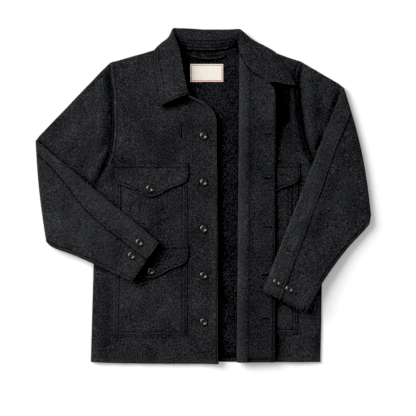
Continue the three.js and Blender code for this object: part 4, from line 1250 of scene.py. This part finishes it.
def collar_middle(along, across):
    """At each station, the smooth curve through neck, stand, roll, fall and edge."""
    neck, roll, fall, edge = (
        collar_line(rows, along) for rows in (COLLAR_NECK, COLLAR_ROLL, COLLAR_FALL, COLLAR_EDGE)
    )
    stand = (neck + roll) / 2 + np.array([0, 0, STAND_BULGE])
    knots = np.stack([neck, stand, roll, fall, edge])
    tangent = tangents(np.diff(knots, axis=0))
    at = np.clip(across * 4, 0, 4)
    i = np.clip(at.astype(int), 0, 3)
    s = (at - i)[:, None, None]
    ends = s * (1 - s) ** 2 * tangent[i] - s * s * (1 - s) * tangent[i + 1]
    middle = mix(knots[i], knots[i + 1], smooth(s)) + ends
    middle[..., 2] = np.maximum(middle[..., 2], COLLAR_LOW)
    return middle


along = denser(shares(190, 620), 620, [5])
middle = collar_middle(along, shares(56, 85)).transpose(1, 0, 2)
panel(
    "collar_panel", "collar", middle, held="folded", rests_on=["front_right_panel", "front_left_panel"],
    seams=[
        ("v1", 5, 0, 1), ("v1", 12, 0, 1), ("u0", 5, 0, 1), ("v0", 7, 0.25, 0.72),
        ("v0", 15, 0.25, 0.72), ("v0", 23, 0.25, 0.72),
    ],
    laps=[("v1", 14, 0.8, 0, 1), ("u0", 12, 0.8, 0, 1)],
)

# %% [markdown]
# ## Pockets and flaps
# A long patch on each front makes an upper and a lower pocket. Each flap hangs over its pocket's mouth
# to a rounded point, with its lower edge lifting free, which draws the dark line below it.

# %% Pockets
POCKETS = dict(
    right=dict(top_x=-210, x=-218, inner=-38.5, top=66, bottom=-343, under=right_top, lines=[]),
    left=dict(
        top_x=230, x=229, inner=104, top=66, bottom=-337, under=left_top,
        lines=[((206, 40), (206, -72)), ((215, 40), (215, -46))],
    ),
)
SWELL = 0.66
PRESSED, PRESSED_WIDE = 0.6, 5
POCKET_ROWS = (5, 12)


def pocket_middle(rows, part, share):
    """A patch between its outer and inner edge, lying on the front. Each of its two pockets swells."""
    y = mix(rows["bottom"], rows["top"], share)
    x = mix(mix(rows["x"], rows["top_x"], share), rows["inner"], part)
    swell = SWELL * arch(part) * arch(share * 2 % 1) ** 0.5
    middle = np.stack([x, y, rows["under"](x, y) + SEAM + CLOTH / 2 + swell], -1)
    middle[..., 2] -= PRESSED * bell(border_distance(middle), PRESSED_WIDE)
    return middle


for side, rows in POCKETS.items():
    u, v = grid(denser(shares(50, 180), 180, POCKET_ROWS), denser(shares(96, 409), 409, POCKET_ROWS))
    panel(
        f"pocket_{side}_patch", f"pocket_{side}", pocket_middle(rows, u, v),
        rests_on=[f"front_{side}_panel"], out=-1 if side == "left" else 1,
        seams=[(edge, inset, 0, 1) for edge in ("u0", "u1", "v0") for inset in POCKET_ROWS],
        laps=[(edge, 14, 0.6, 0, 1) for edge in ("u0", "u1", "v0")], lines=rows["lines"],
    )

# %% Flaps
FLAP_WIDTH, FLAP_CLEAR = 183.0, 0.5
FLAP_LIFT = dict(high=2.6, start=0.45, corner=0.12)
FLAP_CORNER = dict(pressed=1.5, wide=0.03)
FLAP_TOPS = dict(upper=79, lower=-117)
FLAP_SIDES = (("right", -36, 183, right_top), ("left", 234.5, 126.5, left_top))
FLAP_EDGE = table(
    "part drop",
    (0, 34), (0.012, 40.5), (0.04, 47), (0.09, 52), (0.25, 63), (0.42, 80), (0.5, 83), (0.58, 80),
    (0.75, 63), (0.91, 52), (0.96, 47), (0.988, 40.5), (1, 34),
)
flap_drop = through(FLAP_EDGE, "part", "drop")


def flap_middle(outer_x, top, under, shown, part, share):
    """Straight at the top and scalloped below, lying on the pocket and lifting at its lower edge."""
    at = part * shown / FLAP_WIDTH
    y = mix(top, top - flap_drop(at), share)
    x = outer_x - at * FLAP_WIDTH
    lift = FLAP_LIFT["high"] * smooth((share - FLAP_LIFT["start"]) / (1 - FLAP_LIFT["start"]))
    press = PRESSED * (1 + FLAP_CORNER["pressed"] * bell(part, FLAP_CORNER["wide"]))
    lift = lift * smooth(part / FLAP_LIFT["corner"]) - press
    return np.stack([x, y, under(x, y) + LAYER + SEAM + CLOTH / 2 + FLAP_CLEAR + lift], -1)


for which, top in FLAP_TOPS.items():
    for side, outer_x, shown, under in FLAP_SIDES:
        u, v = grid(shares(80, shown), shares(40, 80))
        panel(
            f"flap_{side}_{which}_piece", f"flap_{side}_{which}",
            flap_middle(outer_x, top, under, shown, u, v), rests_on=[f"pocket_{side}_patch"],
            seams=[("v0", 3, 0, 1), ("v0", 10, 0, 1), ("v1", 6, 0, 1), ("u0", 6, 0, 1), ("u1", 6, 0, 1)],
            laps=[("v0", 12, 0.8, 0, 1), ("v1", 9, 0.6, 0, 1), ("u0", 9, 0.6, 0, 1)],
        )

# %% [markdown]
# ## Hanger loop and label
# Both are inside the back of the neck. The loop is a narrow band that hangs from its two ends. The
# label is plain cream satin with a thin red border and nothing written on it.

# %% Loop and label
LOOP = dict(start=-30, end=54, y=344, sag=9, wide=6, thick=1.5, rise=1.5)
part, across = grid(shares(60, 84), shares(8, 6))
y = LOOP["y"] - LOOP["sag"] * arch(part) ** 0.7 - LOOP["wide"] * across
x = mix(LOOP["start"], LOOP["end"], part)
z = FALL_RAISE + LAYER + LOOP["thick"] / 2 + LOOP["rise"] * arch(part)
loop = cloth("hanger_loop_band", np.stack([x, y, z], -1), thick=LOOP["thick"])
finish_piece(loop, wool, "wool", "hanger_loop")

LABEL = dict(x=-31.5, y=276, wide=80, high=43, thick=1.0, bow=0.5)
part, share = grid(shares(50, 80), shares(30, 43))
x, y = LABEL["x"] + LABEL["wide"] * part, LABEL["y"] + LABEL["high"] * share
z = LAYER + LABEL["thick"] / 2 + LABEL["bow"] * arch(part) * arch(share)
panel(
    "neck_label", "label", np.stack([x, y, z], -1), rests_on=["back_panel"], thick=LABEL["thick"],
    finishes=cream, slot="label",
)
BORDER, LINE = 2.4, 1.3
STRIP_ABOVE, STRIP_BELOW = 0.22, 0.1


def frame_strip(name, x0, y0, x1, y1):
    """A thin closed strip that lies on the label."""
    part, share = grid(np.linspace(0, 1, 24), np.linspace(0, 1, 4))
    x, y = mix(x0, x1, part), mix(y0, y1, share)
    bow = LABEL["bow"] * arch((x - LABEL["x"]) / LABEL["wide"]) * arch((y - LABEL["y"]) / LABEL["high"])
    z = LAYER + LABEL["thick"] + bow
    piece = shell(name, np.stack([x, y, z + STRIP_ABOVE], -1), np.stack([x, y, z - STRIP_BELOW], -1))
    finish_piece(piece, red, "label")


x0, x1 = LABEL["x"] + BORDER, LABEL["x"] + LABEL["wide"] - BORDER
y0, y1 = LABEL["y"] + BORDER, LABEL["y"] + LABEL["high"] - BORDER
STRIPS = dict(
    low=(x0, y0, x1, y0 + LINE), high=(x0, y1 - LINE, x1, y1),
    right=(x0, y0 + LINE, x0 + LINE, y1 - LINE), left=(x1 - LINE, y0 + LINE, x1, y1 - LINE),
)
for name, corners in STRIPS.items():
    frame_strip(f"label_border_{name}", *corners)

# %% [markdown]
# ## Buttons
# Turned horn: a rounded rim, a dished middle and four holes with crossed thread. The two parameters are
# the distance along the turned profile and the turn round it, and the holes are pits sunk into the dish.

# %% Button form
BUTTON_PROFILE = table(
    "r z",
    (0.02, 0), (7.6, 0), (9.2, 0.6), (9.8, 1.2), (9.6, 1.9), (9.0, 2.6), (8.3, 3.15), (7.4, 3.6),
    (6.6, 3.85), (6.0, 3.85), (5.4, 3.65), (4.6, 3.2), (3.7, 2.7), (0.02, 2.5),
)
HOLE_RING, HOLE_RADIUS, HOLE_DEPTH = 2.0, 0.95, 1.5
HOLE_TURNS = (45, 135, 225, 315)
TURNS, RIM_RINGS, DISH_RINGS = 56, 40, 22


def turned_button(name, place, normal):
    """The profile resampled evenly, turned round the axis, with four pits in the dish."""
    r, z = BUTTON_PROFILE["r"], BUTTON_PROFILE["z"]
    far = np.r_[0, np.cumsum(np.hypot(np.diff(r), np.diff(z)))]
    at = np.r_[np.linspace(0, far[-4], RIM_RINGS)[:-1], np.linspace(far[-4], far[-1], DISH_RINGS)]
    r, z = np.interp(at, far, r), np.interp(at, far, z)
    turn = np.linspace(0, 2 * np.pi, TURNS, endpoint=False)
    x, y = r[:, None] * np.cos(turn), r[:, None] * np.sin(turn)
    z = np.broadcast_to(z[:, None], x.shape).copy()
    for hole in np.radians(HOLE_TURNS):
        off = np.hypot(x - HOLE_RING * np.cos(hole), y - HOLE_RING * np.sin(hole))
        z[-DISH_RINGS:] -= HOLE_DEPTH * bell(off[-DISH_RINGS:], HOLE_RADIUS, 4)
    points = np.stack([x, y, z], -1).reshape(-1, 3) @ frame_to(normal).T + place
    n = len(r)
    index = np.arange(n * TURNS).reshape(n, TURNS)
    beside = np.roll(index, -1, axis=1)
    quads = np.stack([index[:-1], beside[:-1], beside[1:], index[1:]], -1).reshape(-1, 4).tolist()
    return put(name, points, quads + [index[0].tolist()[::-1], index[-1].tolist()])


def frame_to(normal):
    """A turn that takes +Z to the normal."""
    normal = np.asarray(normal, float) / np.linalg.norm(normal)
    side = np.cross([0, 1, 0], normal)
    side /= np.linalg.norm(side)
    return np.stack([side, np.cross(normal, side), normal], 1)


# %% Place the buttons
def surface_normal(seat, x, y, step=4.0):
    return np.array([
        (seat(x - step, y) - seat(x + step, y)) / (2 * step),
        (seat(x, y - step) - seat(x, y + step)) / (2 * step),
        1.0,
    ])


FLAP_SEAT = 2 * LAYER + 1.0
FLAP_BUTTONS = dict(upper=(-129, 16), lower=(-127, -183))
CUFF_BUTTONS = dict(right=((0.881, 0.254), (0.872, 0.553)), left=((0.926, 0.197), (0.915, 0.48)))
CUFF_STEP = 0.01
BUTTON_THREAD = dict(long=5.2, radius=0.45, high=2.55)


def flap_seat(x, y):
    return right_top(x, y) + FLAP_SEAT


def cuff_seat(sleeve, part, share):
    """A place on the cuff, and the height of the plane that touches the cuff there."""
    here, ahead = (sleeve.point(np.array(2 + at), share, 0.0) for at in (part, part + CUFF_STEP))
    step = ahead - here
    slope = step[2] / (step[0] ** 2 + step[1] ** 2)

    def seat(x, y):
        return here[2] + slope * ((x - here[0]) * step[0] + (y - here[1]) * step[1])

    return here[0], here[1], seat


button_seats = [(f"button_front_{n + 1}", BUTTON_X, y, right_top) for n, y in enumerate(button_ys)]
button_seats += [(f"button_flap_{which}", *place, flap_seat) for which, place in FLAP_BUTTONS.items()]
for side, sleeve in sleeves.items():
    for n, place in enumerate(CUFF_BUTTONS[side]):
        button_seats.append((f"button_cuff_{side}_{n + 1}", *cuff_seat(sleeve, *place)))
thread_bars = []
for name, x, y, seat in button_seats:
    x, y = float(x), float(y)
    normal = surface_normal(seat, x, y)
    normal /= np.linalg.norm(normal)
    place = np.array([x, y, float(seat(x, y))]) + normal * SEAM
    piece = turned_button(name + "_horn", place, normal)
    finish_piece(piece, horn, "button", name)
    turn = frame_to(normal)
    for across in np.radians(HOLE_TURNS[:2]):
        way = turn @ np.array([np.cos(across), np.sin(across), 0])
        thread_bars.append(np.stack([place + normal * BUTTON_THREAD["high"], way, normal]))
print(len(button_seats), "buttons")

# %% [markdown]
# ## Stitches and thread
# All the stitches of one panel are copies of one small capsule, placed by whole arrays: each copy's
# corners are its place plus its own three directions times the capsule's corners.


# %% Sew
def capsules(name, stitches, long, radius):
    """Capsules of four sides and three rings at (place, way, normal), joined in one mesh."""
    ring = np.array([0.45, 1.0, 0.45]) * radius
    at = np.array([-0.5, 0.0, 0.5]) * long
    turn = np.linspace(0, 2 * np.pi, 4, endpoint=False)
    corners = np.stack(
        [np.repeat(at, 4), np.outer(ring, np.cos(turn)).ravel(), np.outer(ring, np.sin(turn)).ravel()], -1
    )
    place, way, normal = stitches[:, 0], stitches[:, 1], stitches[:, 2]
    side = np.cross(normal, way)
    side /= np.linalg.norm(side, axis=1, keepdims=True)
    up = np.cross(way, side)
    basis = np.stack([way, side, up], 1)
    points = place[:, None] + np.einsum("ck,nkd->ncd", corners, basis)
    index = np.arange(12).reshape(3, 4)
    beside = np.roll(index, -1, axis=1)
    quads = np.stack([index[:-1], index[1:], beside[1:], beside[:-1]], -1).reshape(-1, 4)
    quads = np.concatenate([quads, index[:1], index[-1:, ::-1]])
    faces = (quads + 12 * np.arange(len(stitches))[:, None, None]).reshape(-1, 4).tolist()
    finish_piece(put(name, points.reshape(-1, 3), faces), thread, "wool")


total = 0
for name, lines in sewn.items():
    stitches = np.concatenate(lines)
    stitches[:, 0] += stitches[:, 2] * STITCH["lift"]
    capsules(name + "_stitches", stitches, STITCH["long"], STITCH["radius"])
    total += len(stitches)
capsules("button_threads", np.array(thread_bars), BUTTON_THREAD["long"], BUTTON_THREAD["radius"])
print(total, "stitches")

# %% [markdown]
# The buttonholes are worked with close stitches along both lips of the slit, so each is two rows of
# short thread bars that lie across it.

# %% Buttonholes
BAR = dict(pitch=1.0, off=2.3, high=0.45, long=2.8, radius=0.5)
BAR_WAY = (0.12, 1.0, 0.0)


def facing_height(x, y):
    return folded_middle((x - roll_axis(y)) / (free_edge(y) - roll_axis(y)), y)[..., 2]


at = np.arange(-HOLE_LONG / 2, HOLE_LONG / 2 + 0.1, BAR["pitch"])
bars = []
for hole_x, hole_y in zip(HOLE_XS, HOLE_YS):
    for lip in (-1, 1):
        x, y = hole_x + at, np.full(len(at), hole_y + lip * BAR["off"])
        place = np.stack([x, y, facing_height(x, y) + LAYER + CLOTH / 2 + BAR["high"]], -1)
        way, up = (np.broadcast_to(axis, place.shape) for axis in (BAR_WAY, (0.0, 0.0, 1.0)))
        bars.append(np.stack([place, way, up], 1))
capsules("buttonhole_threads", np.concatenate(bars), BAR["long"], BAR["radius"])

# %% [markdown]
# ## Floor, light and camera
# The photograph looks straight down on a white ground, with a soft light from the upper left. The
# camera is three metres up, and its lens is set so that a pixel is 2.43 mm on the floor.

# %% Floor
FLOOR_SIZE = 4.0
FLOOR_Z = -0.0004
bpy.ops.mesh.primitive_plane_add(size=FLOOR_SIZE, location=(0, 0, FLOOR_Z))
floor = bpy.context.object
floor.name = "ground"
material, tree, shader = new_material("pale_floor")
shader.inputs["Base Color"].default_value = (0.93, 0.93, 0.93, 1)
shader.inputs["Roughness"].default_value = 0.9
shader.inputs["Specular IOR Level"].default_value = 0.0
floor.data.materials.append(material)

# %% Light
WORLD_STRENGTH = 0.42
world = bpy.data.worlds.new("studio")
world.use_nodes = True
world.node_tree.nodes["Background"].inputs["Color"].default_value = (1, 1, 1, 1)
world.node_tree.nodes["Background"].inputs["Strength"].default_value = WORLD_STRENGTH
bpy.context.scene.world = world


def area_light(name, place, size, power):
    """A square lamp that faces the middle of the jacket."""
    lamp = bpy.data.lights.new(name, "AREA")
    lamp.size = size
    lamp.energy = power
    holder = bpy.data.objects.new(name, lamp)
    bpy.context.scene.collection.objects.link(holder)
    holder.location = place
    holder.rotation_euler = (-holder.location).to_track_quat("-Z", "Y").to_euler()


area_light("key", (-5.9, 4.0, 4.7), 6.2, 1100)
area_light("fill", (3.8, -1.6, 3.0), 2.8, 55)

# %% Camera
PIXEL = 2.43 * MM
IMAGE_PIXELS = 416
CAMERA_HEIGHT = 3.0
CAMERA_X, CAMERA_Y = 0.01154, -0.03038
SENSOR = 36.0
BLACK_POINT = 0.012
camera = bpy.data.cameras.new("camera")
camera.sensor_width = SENSOR
camera.lens = SENSOR * CAMERA_HEIGHT / (IMAGE_PIXELS * PIXEL)
holder = bpy.data.objects.new("camera", camera)
holder.location = (CAMERA_X + SHIFT[0] * MM, CAMERA_Y + SHIFT[1] * MM, CAMERA_HEIGHT)
scene = bpy.context.scene
scene.collection.objects.link(holder)
scene.camera = holder
scene.view_settings.view_transform = "Standard"
scene.view_settings.use_curve_mapping = True
tone = scene.view_settings.curve_mapping
tone.black_level = (BLACK_POINT,) * 3
tone.update()
print("lens:", round(camera.lens, 1), "mm")
